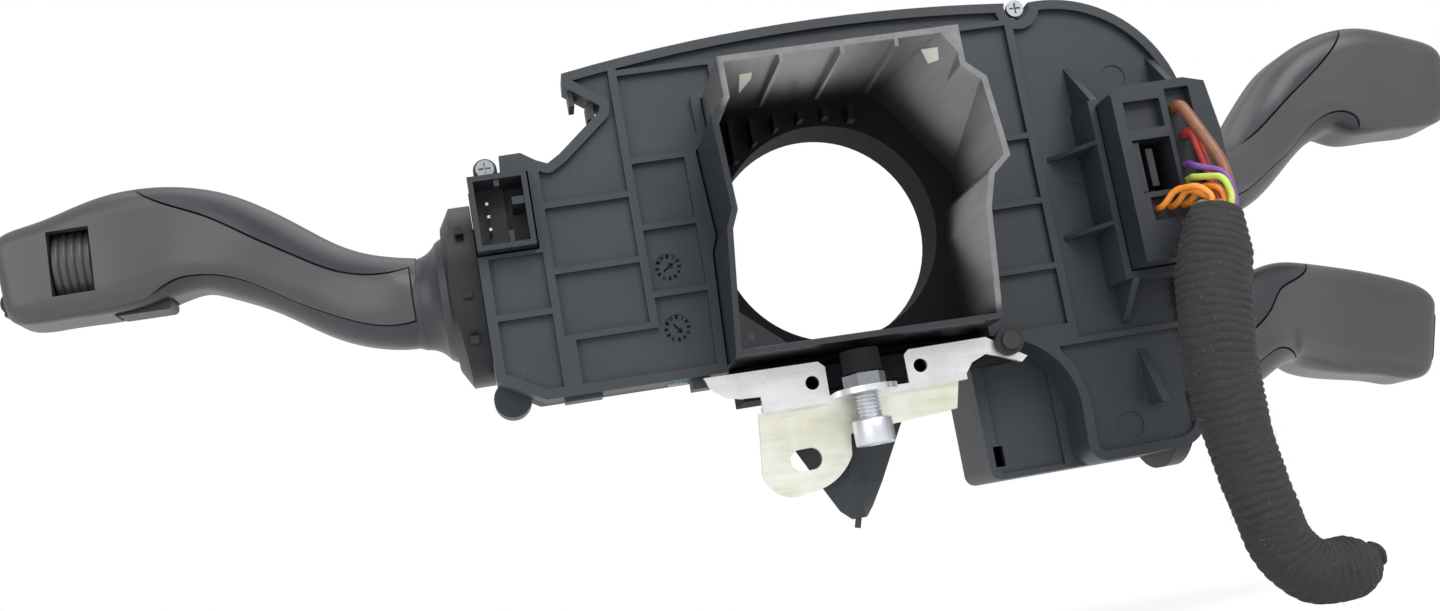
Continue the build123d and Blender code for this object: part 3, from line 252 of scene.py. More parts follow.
def tray_plastic(colour, painted_shade_colour):
    """Tray plastic: near black as painted shade in the bore and behind the shroud, plainer on the driver's
    side.
    """
    def paint(s):
        place = s.place()
        x, y, z = s.split(place)
        # Painted shade: near black in the bore and towards the shroud, the plain colour only beyond both
        beyond_painted_shade = y.step(*TRAY_DEPTH) * ((x ** 2.0 + z ** 2.0) ** 0.5).step(*BORE_WALL)
        fine = s.noise(place, GRAIN, 3.0, 0.6)
        tone = s.noise(place, BROAD, 3.0).step(0.3, 0.7)
        base = s.mix(beyond_painted_shade, painted_shade_colour, s.mix(tone, scaled(colour, 0.9), scaled(colour, 1.1)))
        s.principled(base_color=base, roughness=0.72 - beyond_painted_shade * 0.2 + (fine - 0.5) * 0.14,
                     specular_ior_level=0.14, normal=s.bump(fine, 0.35, 0.05 * MM))
    return paint


def plated(colour, tint, rough=0.3, warmth=0.5):
    """Zinc plate on sheet steel: rolled streaks, cloudy passivation colours and small pits."""
    def paint(s):
        place = s.place()
        x, y, z = s.split(place)
        streak_place = s.add("ShaderNodeCombineXYZ", None, {0: x * 60.0, 1: y * 900.0, 2: z * 900.0})
        streak = s.noise(streak_place, 1.0, 4.0, 0.6)
        cloud = s.noise(place, 85.0, 4.0, 0.55)
        pits = s.cells(place, 900.0).step(0.05, 0.16)
        base = s.mix(cloud.step(0.35, 0.7) * warmth, colour, tint)
        base = s.mix((1.0 - pits) * 0.25, base, scaled(colour, 0.45))
        dull = s.noise(place, 210.0, 5.0, 0.65).step(0.52, 0.72)
        base = s.mix(dull * 0.22, base, scaled(colour, 0.6))
        s.principled(base_color=base, metallic=0.92,
                     roughness=rough + (streak - 0.5) * 0.22 + (1.0 - pits) * 0.1,
                     normal=s.bump(streak * 0.6 + cloud * 0.4, 0.3, 0.03 * MM))
    return paint


def bolt_steel(colour):
    """Zinc-flake bolt steel: cloudy grey with dull patches."""
    def paint(s):
        place = s.place()
        grain = s.noise(place, 700.0, 3.0)
        patch = s.noise(place, 190.0, 4.0, 0.6).step(0.4, 0.7)
        base = s.mix(grain.step(0.35, 0.7) * 0.5, colour, scaled(colour, 0.72))
        base = s.mix(patch * 0.35, base, scaled(colour, 0.5))
        s.principled(base_color=base, metallic=0.9, roughness=0.34 + (grain - 0.5) * 0.2 + patch * 0.1,
                     normal=s.bump(grain, 0.3, 0.02 * MM))
    return paint


def polymer(colour, rough=0.38):
    """Plain acetal or nylon: slightly cloudy, with a faint flow pattern."""
    def paint(s):
        place = s.place()
        cloud = s.noise(place, 120.0, 3.0)
        base = s.mix(cloud.step(0.3, 0.7), scaled(colour, 0.92), colour)
        s.principled(base_color=base, roughness=rough + (cloud - 0.5) * 0.1,
                     normal=s.bump(s.noise(place, 1800.0), 0.2, 0.01 * MM))
    return paint


def insulation(colour):
    """Wire insulation: glossy, with faint extrusion lines and dulled patches."""
    def paint(s):
        place = s.place()
        patch = s.noise(place, 420.0, 3.0)
        base = s.mix(patch.step(0.35, 0.75) * 0.5, colour, scaled(colour, 0.62))
        s.principled(base_color=base, roughness=0.36 + (patch - 0.5) * 0.3,
                     normal=s.bump(s.noise(place, 2600.0), 0.15, 0.02 * MM))
    return paint


def board():
    """Circuit board: pale green solder mask with a glass weave at the cut edge."""
    def paint(s):
        place = s.place()
        weave = s.noise(place, 1400.0, 2.0)
        base = s.mix(weave.step(0.4, 0.7), (0.13, 0.33, 0.24), (0.33, 0.55, 0.42))
        s.principled(base_color=base, roughness=0.45 + (weave - 0.5) * 0.2,
                     normal=s.bump(weave, 0.2, 0.03 * MM))
    return paint


def cloth_tape(colour, lines=2300.0):
    """Fleecy cloth tape: a weave on the piece's own UV map, whose unit is the metre, with pale lint."""
    def paint(s):
        uv = s.add("ShaderNodeTexCoord", output=2)
        u, v, _ = s.split(uv)
        weave = (u * lines * math.tau).wave() * (v * lines * math.tau).wave()
        rough = s.noise(s.place(), 230.0, 5.0, 0.7)
        wool = s.noise(s.place(), 1500.0, 4.0, 0.75)
        speck = s.noise(s.place(), 2600.0, 2.0, 0.6).step(0.70, 0.80) * rough.step(0.42, 0.62)
        base = s.mix(wool.step(0.3, 0.72), scaled(colour, 0.4), scaled(colour, 1.7))
        base = s.mix(rough.step(0.4, 0.75) * 0.45, base, scaled(colour, 2.2))
        base = s.mix(speck * 0.30, base, (0.32, 0.31, 0.29))
        s.principled(base_color=base, roughness=0.9, specular_ior_level=0.16,
                     normal=s.bump(weave * 0.25 + wool * 1.5 + rough * 1.2, 0.85, 0.16 * MM))
    return paint


# Meshes

def new_mesh(name, points, faces, smooth=True):
    mesh = bpy.data.meshes.new(name)
    mesh.from_pydata([tuple(p) for p in np.asarray(points, float)], [], [tuple(map(int, f)) for f in faces])
    mesh.polygons.foreach_set("use_smooth", [smooth] * len(mesh.polygons))
    mesh.update()
    made = bpy.data.objects.new(name, mesh)
    bpy.context.scene.collection.objects.link(made)
    return made


def dress(piece, body, slot, finish, *nodes):
    """Gives a new piece its body and material and hides the CAD nodes that it stands for; the record slot is
    not used.
    """
    piece.data.materials.clear()
    piece.data.materials.append(finish)
    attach(piece, body)
    if nodes:
        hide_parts(*nodes)
    return piece


def grid_faces(rows, columns):
    """Quads of a grid of rows by columns points that closes round its columns."""
    i, j = np.meshgrid(np.arange(rows - 1), np.arange(columns), indexing="ij")
    k = (j + 1) % columns
    low, high = i * columns, (i + 1) * columns
    return np.stack([low + j, low + k, high + k, high + j], -1).reshape(-1, 4)


def closed_tube(name, rings, ends, flip=False):
    """Surface through rings of points (rows, columns, 3), closed by a fan to each of the two end points."""
    rows, columns = rings.shape[:2]
    j = np.arange(columns)
    k = (j + 1) % columns
    first, last, base = rows * columns, rows * columns + 1, (rows - 1) * columns
    fans = np.concatenate([np.stack([np.full(columns, first), k, j], -1),
                           np.stack([np.full(columns, last), base + j, base + k], -1)])
    faces = [tuple(f) for f in grid_faces(rows, columns)] + [tuple(f) for f in fans]
    if flip:
        faces = [f[::-1] for f in faces]
    return new_mesh(name, np.concatenate([rings.reshape(-1, 3), ends]), faces)


def ramp(value, low, high):
    """0 at low, 1 at high and straight between."""
    return np.clip((value - low) / (high - low), 0, 1)


def route_line(points, count):
    """Evenly spaced points on the smooth NURBS line of the given control points."""
    curve = bpy.data.curves.new("route", "CURVE")
    curve.dimensions = "3D"
    curve.resolution_u = 48
    spline = curve.splines.new("NURBS")
    spline.points.add(len(points) - 1)
    spline.points.foreach_set("co", np.column_stack([points, np.ones(len(points))]).ravel())
    spline.order_u = 3
    spline.use_endpoint_u = True
    holder = bpy.data.objects.new("route", curve)
    bpy.context.scene.collection.objects.link(holder)
    bpy.context.view_layer.update()
    mesh = bpy.data.meshes.new_from_object(holder.evaluated_get(bpy.context.evaluated_depsgraph_get()))
    line = np.empty(len(mesh.vertices) * 3)
    mesh.vertices.foreach_get("co", line)
    line = line.reshape(-1, 3)
    bpy.data.meshes.remove(mesh)
    bpy.data.objects.remove(holder)
    bpy.data.curves.remove(curve)
    run = np.concatenate([[0], np.cumsum(np.linalg.norm(np.diff(line, axis=0), axis=1))])
    at = np.linspace(0, run[-1], count)
    return np.column_stack([np.interp(at, run, line[:, a]) for a in range(3)]), at


def frames_along(line):
    """Two directions square to the line at each of its points, turned as little as possible."""
    tangent = np.gradient(line, axis=0)
    tangent /= np.linalg.norm(tangent, axis=1)[:, None]
    reference = np.array([0.0, -1.0, 0.0])
    side = reference - tangent * (tangent @ reference)[:, None]
    side /= np.linalg.norm(side, axis=1)[:, None]
    return side, np.cross(tangent, side)


def sines(a, b, seeds):
    """A lumpy field between about -1 and 1: a sum of sines in a and b with fixed directions and phases."""
    total = np.zeros(np.broadcast(a, b).shape)
    for fa, fb, phase in seeds:
        total = total + np.sin(fa * a + fb * b + phase)
    return total / len(seeds)


def seeds(count, low, high, start):
    """Fixed directions and phases for a lumpy field, whole numbers of waves round the second axis."""
    rng = np.random.default_rng(start)
    return list(zip(rng.uniform(low, high, count) * rng.choice([-1, 1], count),
                    rng.integers(-6, 7, count), rng.uniform(0, math.tau, count)))


# Settings shown in the sidebar

class SWITCH_PG_finishes(bpy.types.PropertyGroup):
    """Colours of the plastic, metal and cloth finishes."""
    housing: FloatVectorProperty(name="Housing", description="Colour of the moulded covers and housings",
                                 subtype="COLOR", size=3, min=0, max=1, default=(0.0245, 0.0290, 0.0345))
    # The shroud colour is the pale tone painted on its inner walls as painted light; its outside is painted
    # shade
    shroud: FloatVectorProperty(name="Shroud", description="Colour of the tall column shroud",
                                subtype="COLOR", size=3, min=0, max=1, default=(0.160, 0.161, 0.165))
    stalk: FloatVectorProperty(name="Stalks", description="Colour of the stalk bodies",
                               subtype="COLOR", size=3, min=0, max=1, default=(0.0195, 0.0210, 0.0255))
    inlay: FloatVectorProperty(name="Inlays", description="Colour of the covers let into the stalks",
                               subtype="COLOR", size=3, min=0, max=1, default=(0.044, 0.045, 0.049))
    tape: FloatVectorProperty(name="Tape", description="Colour of the cloth tape on the harness",
                              subtype="COLOR", size=3, min=0, max=1, default=(0.0100, 0.0097, 0.0104))


class SWITCH_PG_harness(bpy.types.PropertyGroup):
    """Sizes of the taped harness."""
    radius: FloatProperty(name="Radius", description="Radius of the taped harness", subtype="DISTANCE",
                          unit="LENGTH", min=0.002, max=0.03, default=0.0093)
    step: FloatProperty(name="Tape step", description="Distance along the harness between tape edges",
                        subtype="DISTANCE", unit="LENGTH", min=0.0005, max=0.03, default=0.0021)
    ridge: FloatProperty(name="Tape ridge", description="How far each tape edge stands up",
                         subtype="DISTANCE", unit="LENGTH", min=0.0, max=0.002, default=0.00055)
    hairs: IntProperty(name="Lint hairs", description="Number of lint hairs on the tape", min=0, max=4000,
                       default=1500)


class SWITCH_PG_studio(bpy.types.PropertyGroup):
    """Studio light and floor."""
    key: FloatProperty(name="Key light", description="Power of the main soft light", unit="POWER",
                       min=0.0, max=200.0, default=12.0)
    sky: FloatProperty(name="Surround", description="Level of the light from all round", min=0.0, max=2.0,
                       default=0.70)
    floor: FloatProperty(name="Floor height", description="Height of the floor", subtype="DISTANCE",
                         unit="LENGTH", min=-1.0, max=0.0, default=-0.1225)


class Step(bpy.types.Operator):
    """One step of making the switch's looks."""
    bl_options = {"REGISTER", "UNDO"}

    def make(self, scene):
        raise NotImplementedError

    def execute(self, context):
        self.make(context.scene)
        return {"FINISHED"}


class SWITCH_OT_studio(Step):
    """White floor and surround, soft lamps and the camera at the photograph's angle."""
    bl_idname = "switch.studio"
    bl_label = "Studio"

    def make(self, scene):
        scene.view_settings.view_transform = "Standard"
        studio = scene.switch_studio
        right, forward = Vector(CAMERA_RIGHT), Vector(CAMERA_VIEW).normalized()
        up = right.cross(forward).normalized()
        right = forward.cross(up).normalized()
        lens = bpy.data.cameras.new("camera")
        lens.sensor_width = SENSOR_WIDTH
        lens.sensor_fit = "HORIZONTAL"
        lens.lens = CAMERA_LENS
        lens.clip_start = 0.01
        camera = bpy.data.objects.new("camera", lens)
        turn = Matrix((right, up, -forward)).transposed()
        camera.matrix_world = Matrix.Translation(CAMERA_PLACE) @ turn.to_4x4()
        scene.collection.objects.link(camera)
        scene.camera = camera
        for name, (spot, share, size) in LAMPS.items():
            lamp = bpy.data.lights.new(name, "AREA")
            lamp.energy = studio.key * share
            lamp.size = size
            holder = bpy.data.objects.new(name, lamp)
            aim = (Vector(LAMP_AIM) - Vector(spot)).to_track_quat("-Z", "Y")
            holder.matrix_world = Matrix.Translation(spot) @ aim.to_matrix().to_4x4()
            scene.collection.objects.link(holder)
        world = bpy.data.worlds.new("surround")
        scene.world = world
        w = Shader(world)
        path = w.add("ShaderNodeLightPath").socket.node
        seen = Sock(w, path.outputs["Is Camera Ray"]).most(Sock(w, path.outputs["Is Transmission Ray"]))
        level = seen * (1.0 - studio.sky) + studio.sky
        back = w.add("ShaderNodeBackground", None, {"Color": (1, 1, 1), "Strength": level})
        out = w.nodes.new("ShaderNodeOutputWorld")
        w.links.new(back.socket, out.inputs[0])
        corners = [(x * FLOOR_HALF, y * FLOOR_HALF, studio.floor)
                   for x, y in ((-1, -1), (1, -1), (1, 1), (-1, 1))]
        floor = new_mesh("floor", corners, [(0, 1, 2, 3)], False)

        def paint(s):
            path = s.add("ShaderNodeLightPath").socket.node
            x, y, _ = s.split(s.place())
            far = ((x ** 2.0 + y ** 2.0) ** 0.5).step(*FLOOR_FADE)
            lit = s.add("ShaderNodeBsdfDiffuse", None, {"Color": (0.94, 0.94, 0.94)})
            white = s.add("ShaderNodeEmission", None, {"Color": (1, 1, 1), "Strength": 1.0})
            shown = Sock(s, path.outputs["Is Camera Ray"]).most(Sock(s, path.outputs["Is Glossy Ray"]))
            s.surface(s.add("ShaderNodeMixShader", None, {0: shown * (0.35 + far * 0.65), 1: lit, 2: white}))
        floor.data.materials.append(material("floor_white", paint))


class SWITCH_OT_finishes(Step):
    """Gives every CAD piece its finish."""
    bl_idname = "switch.finishes"
    bl_label = "Finishes"

    def make(self, scene):
        c = scene.switch_finishes
        paints = {
            "housing_black": moulded(c.housing, 0.50, depth=0.05, dust=0.08),
            # Shroud: pale walls are painted light, its outside and duct painted shade in a darker housing
            # colour
            "shroud_black": duct_plastic(c.shroud, scaled(c.housing, 0.7)),
            "stalk_grey": moulded(c.stalk, 0.36, SATIN_GRAIN, 0.02, 0.05, 0.06, 0.5),
            "inlay_black": moulded(c.inlay, 0.34, SATIN_GRAIN, 0.02, 0.05, 0.06, 0.5),
            "control_black": moulded(scaled(c.stalk, 0.62), 0.42, SATIN_GRAIN, 0.02, 0.05, 0.06),
            "plug_black": moulded(scaled(c.housing, 0.75), 0.42, depth=0.03, dust=0.05),
            "pad_cream": polymer((0.78, 0.76, 0.68), 0.7),
            "acetal_white": polymer((0.72, 0.71, 0.66)),
            "board_green": board(),
            "zinc_bright": plated((0.80, 0.81, 0.83), (0.68, 0.68, 0.66), 0.30, 0.8),
            "zinc_yellow": plated((0.84, 0.84, 0.77), (0.70, 0.70, 0.54), 0.3, 0.8),
            "bolt_steel": bolt_steel((0.50, 0.53, 0.56)),
            "spring_steel": plated((0.5, 0.5, 0.52), (0.42, 0.4, 0.36), 0.3),
            "contact_brass": plated((0.55, 0.49, 0.34), (0.45, 0.38, 0.22), 0.4),
            "bush_rubber": moulded((0.02, 0.02, 0.02), 0.7, depth=0.04, dust=0.1),
            "tape_black": cloth_tape(c.tape),
            "wire_brown": insulation((0.20, 0.075, 0.035)),
            "wire_red": insulation((0.45, 0.035, 0.03)),
            "wire_violet": insulation((0.16, 0.05, 0.26)),
            "wire_green": insulation((0.42, 0.55, 0.08)),
            "wire_orange": insulation((0.75, 0.24, 0.02)),
            "wire_cream": insulation((0.72, 0.58, 0.30)),
        }
        own = {
            # Front housing: its near-black colour in the bore and behind the shroud is painted shade
            "front_housing": tray_plastic(scaled(c.housing, 0.85), scaled(c.housing, 0.26)),
            "flange": moulded(scaled(c.housing, 0.30), 0.42, SATIN_GRAIN, 0.02, 0.06),
            "locating_spike": moulded(scaled(c.housing, 0.9), 0.46, depth=0.04, dust=0.05),
            "cruise_switch_housing": moulded(scaled(c.housing, 1.25), 0.5, depth=0.05, dust=0.08),
            "bracket_screw": moulded((0.02, 0.02, 0.021), 0.5, dust=0.05),
            "clamp_nut": bolt_steel((0.26, 0.27, 0.29)),
            "cover_screws": bolt_steel((0.30, 0.31, 0.33)),
        }
        special = {key: material(key, paint) for key, paint in own.items()}
        made = {slot: material(slot, paint) for slot, paint in paints.items()}
        slots = {s["node"]: s["material_slot"] for s in frame["record"]["subparts"]}
        for name, node in frame["nodes"].items():
            node.data.materials.clear()
            key = "flange" if name.endswith("_flange") else name
            node.data.materials.append(special.get(key, made[slots[name]]))


class SWITCH_OT_harness(Step):
    """The taped harness: a tube round the route whose radius rises to each tape edge and drops after it."""
    bl_idname = "switch.harness"
    bl_label = "Taped harness"

    def make(self, scene):
        """Radius = size x taper + ridge x |sin(pi (distance / step + drift))|^0.7 x patch + lumps."""
        h = scene.switch_harness
        rows, columns = 960, 132
        neck, slim_from, slim_to, fold, tip = 11 * MM, 35 * MM, 65 * MM, 9.5 * MM, 1.8 * MM
        line, run = route_line(HARNESS_ROUTE, rows)
        side, other = frames_along(line)
        angle = np.linspace(0, math.tau, columns, endpoint=False)[None, :]
        along = run[:, None]
        lumps = sines(along * 260, angle, seeds(9, 0.3, 1.6, 4))
        drift = 0.55 * sines(along * 330, angle, seeds(9, 0.2, 1.4, 31)) + 0.25 * np.sin(angle + 0.6)
        patch = np.clip(0.62 + 0.9 * sines(along * 420, angle, seeds(9, 0.2, 1.5, 17)), 0.12, 1.25)
        creases = sines(along * 2100, angle * 2, seeds(10, 0.4, 1.5, 9))
        ridge = np.abs(np.sin(math.pi * (along / h.step + drift))) ** 0.7 * patch
        left = run[-1] - along
        mouth = 0.70 + 0.30 * ramp(along, 0, neck) ** 0.8 - 0.13 * ramp(along, slim_from, slim_to)
        end = 0.44 + 0.56 * ramp(left, 3.5 * MM, fold) ** 0.5
        radius = h.radius * mouth * end * (1 + 0.016 * lumps) - h.ridge + h.ridge * ridge
        radius = radius + 0.12 * MM * creases
        radius = np.where(left < tip, radius * (0.25 + 0.75 * np.sqrt(ramp(left, 0, tip))), radius)
        rings = (line[:, None, :] + radius[..., None] * (np.cos(angle)[..., None] * side[:, None, :]
                                                         + np.sin(angle)[..., None] * other[:, None, :]))
        piece = closed_tube("harness_tape", rings, [line[0], line[-1]])
        uv = piece.data.uv_layers.new(name="tape")
        owner = np.empty(len(piece.data.loops), int)
        piece.data.loops.foreach_get("vertex_index", owner)
        row, column = np.divmod(owner, columns)
        row = np.clip(row, 0, rows - 1)
        around = column * math.tau / columns
        uv.data.foreach_set("uv", np.column_stack([run[row] + around * 0.00083, around * h.radius]).ravel())
        finish = bpy.data.materials["tape_black"]
        dress(piece, "housing", "tape_black", finish, "harness_sleeve", "harness_end_wrap")
        self.lint(h, line, side, other, radius.min(axis=1))

    def lint(self, h, line, side, other, surface):
        """Hairs: each is a thin three-sided thread along a short bent line that starts on the tape."""
        rng = np.random.default_rng(21)
        n, cuts, sides = h.hairs, 5, 3
        shortest, longest, thickness, sunk = 0.4 * MM, 1.9 * MM, 0.032 * MM, 0.1 * MM
        at = rng.integers(8, len(line) - 60, n)
        angle = rng.uniform(0, math.tau, n)
        out = np.cos(angle)[:, None] * side[at] + np.sin(angle)[:, None] * other[at]
        start = line[at] + out * (surface[at] - sunk)[:, None]
        drift = rng.normal(0, 1, (n, 3))
        length = rng.uniform(shortest, longest, n)[:, None, None]
        t = np.linspace(0, 1, cuts)[None, :, None]
        curl = np.cross(drift, out)[:, None, :]
        lift = out[:, None, :] * np.sin(t * math.pi * 0.85) * 0.42
        paths = start[:, None, :] + length * (drift[:, None, :] * t * 0.45 + curl * t ** 2 * 0.4 + lift)
        thick = thickness * (1 - 0.7 * t)
        turns = np.arange(sides) * math.tau / sides
        axis = paths[:, -1] - paths[:, 0]
        axis /= np.linalg.norm(axis, axis=1)[:, None]
        across = np.cross(axis, out)
        across /= np.linalg.norm(across, axis=1)[:, None]
        third = np.cross(axis, across)
        ring = np.cos(turns)[None, :, None] * across[:, None] + np.sin(turns)[None, :, None] * third[:, None]
        points = paths[:, :, None, :] + thick[..., None] * ring[:, None]
        first = (np.arange(n) * cuts * sides)[:, None, None]
        ends = np.array([[2, 1, 0], np.arange(sides) + (cuts - 1) * sides])
        faces = [tuple(f) for f in (grid_faces(cuts, sides)[None] + first).reshape(-1, 4)]
        faces += [tuple(f) for f in (ends[None] + first).reshape(-1, 3)]
        hairs = new_mesh("harness_lint", points.reshape(-1, 3), faces)
        grey = material("lint_grey", polymer((0.20, 0.20, 0.21), 0.8))
        dress(hairs, "housing", "tape_black", grey)


class SWITCH_OT_springs(Step):
    """Wound detent springs in the stalks' tails."""
    bl_idname = "switch.springs"
    bl_label = "Springs"

    def make(self, scene):
        """Centre line = (length x t, coil radius x cos and sin of turns x t), a round wire about it."""
        wire, coils, rows, columns = 0.24 * MM, 7.5, 260, 8
        for stalk in STALKS:
            node = f"{stalk}_detent_spring"
            low, high = (np.array(v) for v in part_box(node))
            t = np.linspace(0, 1, rows)
            turn = t * math.tau * coils
            reach = (high[1] - low[1]) / 2 - wire
            middle = (low + high) / 2
            line = np.column_stack([low[0] + wire + (high[0] - low[0] - 2 * wire) * t,
                                    middle[1] + reach * np.cos(turn), middle[2] + reach * np.sin(turn)])
            out = np.column_stack([np.zeros_like(t), np.cos(turn), np.sin(turn)])
            tangent = np.gradient(line, axis=0)
            tangent /= np.linalg.norm(tangent, axis=1)[:, None]
            third = np.cross(tangent, out)
            angle = np.linspace(0, math.tau, columns, endpoint=False)
            points = line[:, None] + wire * (np.cos(angle)[None, :, None] * out[:, None]
                                             + np.sin(angle)[None, :, None] * third[:, None])
            faces = [tuple(f) for f in grid_faces(rows, columns)]
            faces += [tuple(range(columns - 1, -1, -1)), tuple(range((rows - 1) * columns, rows * columns))]
            piece = new_mesh(f"{stalk}_spring", points.reshape(-1, 3), faces)
            dress(piece, f"{stalk}_stalk", "spring_steel", bpy.data.materials["spring_steel"], node)


class SWITCH_OT_bolt(Step):
    """Clamp bolt with a wound thread, a rounded head and a hexagon socket."""
    bl_idname = "switch.bolt"
    bl_label = "Bolt thread"

    def make(self, scene):
        """Radius = shank - depth x triangle(height / pitch + angle / full turn) on the shank."""
        low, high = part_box("clamp_bolt")
        middle = [(a + b) / 2 for a, b in zip(low, high)]
        head_r, head_h, shank_r, socket_r = (high[0] - low[0]) / 2, 6.6 * MM, 3.0 * MM, 2.9 * MM
        pitch, depth, socket_depth, columns = 1.0 * MM, 0.52 * MM, 3.0 * MM, 72
        angle = np.linspace(0, math.tau, columns, endpoint=False)
        top, seat, bottom = high[2], low[2] + head_h, low[2]
        rings = []
        for z in np.linspace(top, seat, 240):
            wave = (z / pitch + angle / math.tau) % 1.0
            shaped = np.clip(np.abs(wave * 2 - 1) * 1.25, 0, 1)
            point = 0.35 * MM * (1 - ramp(top - z, 0, 0.8 * MM))
            rings.append((z, shank_r - depth * (1 - shaped) - point))
        edge = [(0.55 * MM, 0), (0.16 * MM, 0.14 * MM), (0, 0.5 * MM)]
        rings += [(seat - drop, np.full(columns, head_r - inset)) for inset, drop in edge]
        rings += [(bottom + drop, np.full(columns, head_r - inset)) for inset, drop in edge[::-1]]
        flat = socket_r * math.cos(math.pi / 6) / np.cos((angle % (math.pi / 3)) - math.pi / 6)
        rings += [(bottom, flat), (bottom + 0.1 * MM, flat * 0.98), (bottom + socket_depth, flat * 0.98)]
        points = np.array([[(middle[0] + r * math.cos(a), middle[1] + r * math.sin(a), z)
                            for r, a in zip(radii, angle)] for z, radii in rings])
        ends = [(middle[0], middle[1], top), (middle[0], middle[1], bottom + socket_depth + 0.3 * MM)]
        piece = closed_tube("clamp_bolt_thread", points, ends, flip=True)
        dress(piece, "housing", "bolt_steel", bpy.data.materials["bolt_steel"], "clamp_bolt")


class SWITCH_OT_wheel(Step):
    """The wiper stalk's thumbwheel with ridges round it."""
    bl_idname = "switch.wheel"
    bl_label = "Thumbwheel"

    def make(self, scene):
        """Radius = rim - crown x t^2 - groove x (1 - |sin(2.5 pi (t + 1))|)^2, t from -1 to 1 along it."""
        low, high = (np.array(v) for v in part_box("wiper_thumbwheel"))
        middle = (low + high) / 2
        half, rim, crown, groove, pin = 5.4 * MM, 11.45 * MM, 0.35 * MM, 0.55 * MM, 1.7 * MM
        columns = 144
        t = np.linspace(-1, 1, 121)
        radius = rim - crown * t ** 2 - groove * (1 - np.abs(np.sin(2.5 * math.pi * (t + 1)))) ** 2
        radius = radius - 0.4 * MM * ramp(np.abs(t), 0.93, 1) ** 2
        reach = (high[0] - low[0]) / 2
        x = np.concatenate([[-reach, -reach, -half], t * half, [half, reach, reach]])
        radius = np.concatenate([[pin * 0.8, pin, pin], radius, [pin, pin, pin * 0.8]])
        angle = np.linspace(0, math.tau, columns, endpoint=False)
        rings = np.stack([np.broadcast_to(middle[0] + x[:, None], (len(x), columns)),
                          middle[1] + radius[:, None] * np.cos(angle)[None, :],
                          middle[2] + radius[:, None] * np.sin(angle)[None, :]], -1)
        ends = [(middle[0] - reach, middle[1], middle[2]), (middle[0] + reach, middle[1], middle[2])]
        piece = closed_tube("thumbwheel_ridged", rings, ends)
        dress(piece, "wiper_wheel", "control_black", bpy.data.materials["control_black"], "wiper_thumbwheel")


# Middle (x, z) and arrow's turn of each date dial, and the y of the pockets' floor, in metres and radians
DIALS = (((-0.0462, -0.0050), 0.6), ((-0.0465, -0.0212), -0.9))
DIAL_FLOOR = -0.0178

# Strokes of each figure on a grid one wide and two high
FIGURES = {"0": "abcdef", "1": "bc", "2": "abged", "3": "abgcd", "4": "fgbc", "5": "afgcd", "6": "afgedc",
           "7": "abc", "8": "abcdefg", "9": "abcdfg"}
STROKES = {"a": (0, 2, 1, 2), "b": (1, 1, 1, 2), "c": (1, 0, 1, 1), "d": (0, 0, 1, 0), "e": (0, 0, 0, 1),
           "f": (0, 1, 0, 2), "g": (0, 1, 1, 1)}


def stroke_box(start, stop, width, floor, height):
    """Six-faced bar on the rear face between two (x, z) points; it rises towards -Y."""
    a, b = np.array(start, float), np.array(stop, float)
    along = (b - a) / max(np.linalg.norm(b - a), 1e-9)
    a, b = a - along * width / 2, b + along * width / 2
    side = np.array([-along[1], along[0]]) * width / 2
    ring = [a - side, b - side, b + side, a + side]
    points = [(p[0], floor, p[1]) for p in ring] + [(p[0], floor - height, p[1]) for p in ring]
    return points, [(0, 3, 2, 1), (4, 5, 6, 7), (0, 1, 5, 4), (1, 2, 6, 5), (2, 3, 7, 6), (3, 0, 4, 7)]


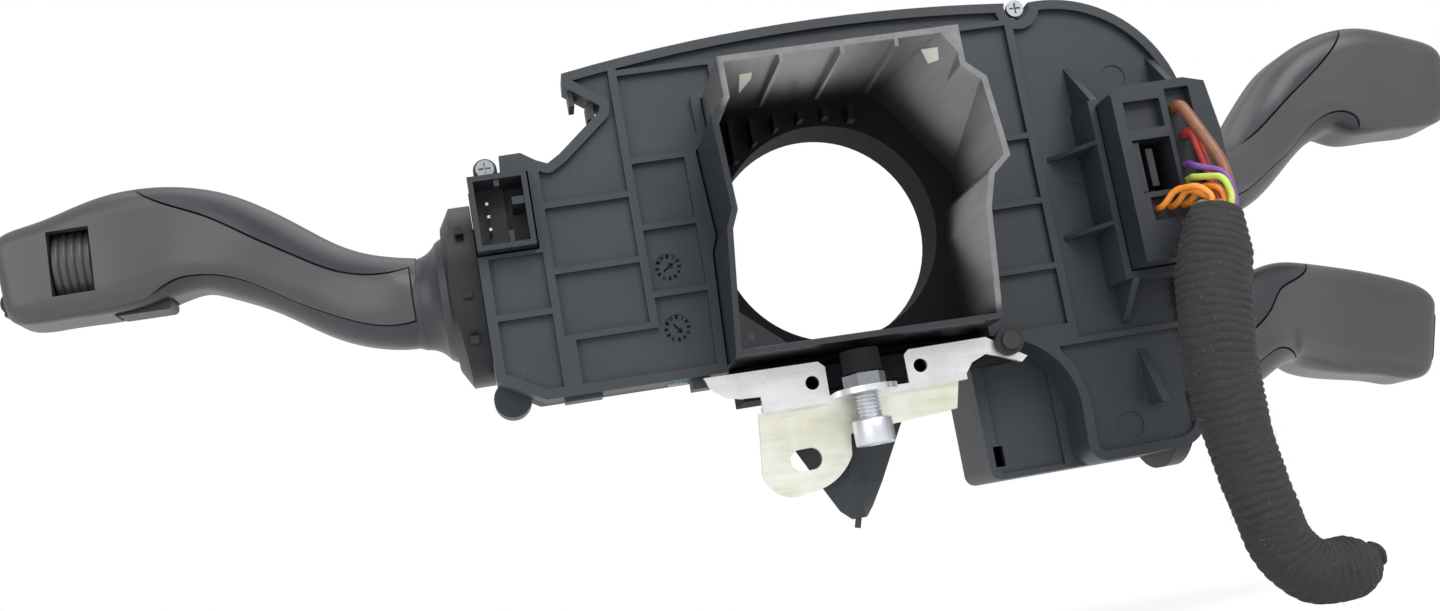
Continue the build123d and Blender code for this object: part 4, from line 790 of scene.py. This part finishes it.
class SWITCH_OT_dials(Step):
    """Date dials: twelve raised figures round an arrow on two pockets of the rear cover, coloured near black
    as painted shade.
    """
    bl_idname = "switch.dials"
    bl_label = "Date dials"

    def make(self, scene):
        """Figure n stands at angle n / 12 of a turn on a circle of 2.9 mm; its strokes are 0.18 mm wide."""
        circle, cell, pitch = 2.9 * MM, 0.36 * MM, 0.52 * MM
        points, faces = [], []

        def bar(start, stop, width, height):
            bar_points, bar_faces = stroke_box(start, stop, width, DIAL_FLOOR, height)
            faces.extend(tuple(i + len(points) for i in f) for f in bar_faces)
            points.extend(bar_points)

        for centre, turn in DIALS:
            centre = np.array(centre)
            for n in range(1, 13):
                a = math.pi / 2 - n * math.tau / 12
                label = str(n)
                up = np.array([math.cos(a), math.sin(a)])
                right = np.array([up[1], -up[0]])
                for i, digit in enumerate(label):
                    shift = (i - len(label) / 2) * pitch + 0.07 * MM
                    corner = centre + up * (circle - cell) + right * shift
                    for stroke in FIGURES[digit]:
                        x0, z0, x1, z1 = (v * cell for v in STROKES[stroke])
                        bar(corner + right * x0 + up * z0, corner + right * x1 + up * z1,
                            0.18 * MM, 0.36 * MM)
            up = np.array([math.cos(turn), math.sin(turn)])
            right = np.array([up[1], -up[0]]) * 0.7 * MM
            bar(centre - up * 1.3 * MM, centre + up * 1.2 * MM, 0.42 * MM, 0.3 * MM)
            for side in (right, -right):
                bar(centre + up * 1.5 * MM, centre + up * 0.6 * MM + side, 0.26 * MM, 0.3 * MM)
        piece = new_mesh("date_dials", points, faces, False)
        # Painted shade: the raised figures and arrow are real relief, but their near-black colour stands in
        # for their shade
        painted_shade_colour = material("dial_figures_painted_shade", moulded((0.002, 0.002, 0.0025), 0.6, dust=0.01, shine=0.1))
        dress(piece, "housing", "housing_black", painted_shade_colour)


STEPS = (SWITCH_OT_studio, SWITCH_OT_finishes, SWITCH_OT_harness, SWITCH_OT_springs, SWITCH_OT_bolt,
         SWITCH_OT_wheel, SWITCH_OT_dials)


class SWITCH_PT_panel(bpy.types.Panel):
    """Sidebar panel with the settings and the steps in order."""
    bl_label = "Stalk switch"
    bl_space_type = "VIEW_3D"
    bl_region_type = "UI"
    bl_category = "Stalk switch"

    def draw(self, context):
        scene = context.scene
        for group in (scene.switch_finishes, scene.switch_harness, scene.switch_studio):
            box = self.layout.box()
            for name in group.bl_rna.properties.keys():
                if name not in ("rna_type", "name"):
                    box.prop(group, name)
        for step in STEPS:
            self.layout.operator(step.bl_idname)


CLASSES = (SWITCH_PG_finishes, SWITCH_PG_harness, SWITCH_PG_studio, *STEPS, SWITCH_PT_panel)


def register():
    for cls in CLASSES:
        bpy.utils.register_class(cls)
    bpy.types.Scene.switch_finishes = PointerProperty(type=SWITCH_PG_finishes)
    bpy.types.Scene.switch_harness = PointerProperty(type=SWITCH_PG_harness)
    bpy.types.Scene.switch_studio = PointerProperty(type=SWITCH_PG_studio)


def unregister():
    del bpy.types.Scene.switch_finishes
    del bpy.types.Scene.switch_harness
    del bpy.types.Scene.switch_studio
    for cls in reversed(CLASSES):
        bpy.utils.unregister_class(cls)


def main():
    register()
    bpy.ops.switch.studio()
    bpy.ops.switch.finishes()
    bpy.ops.switch.harness()
    bpy.ops.switch.springs()
    bpy.ops.switch.bolt()
    bpy.ops.switch.wheel()
    bpy.ops.switch.dials()


if __name__ == "__main__":
    main()
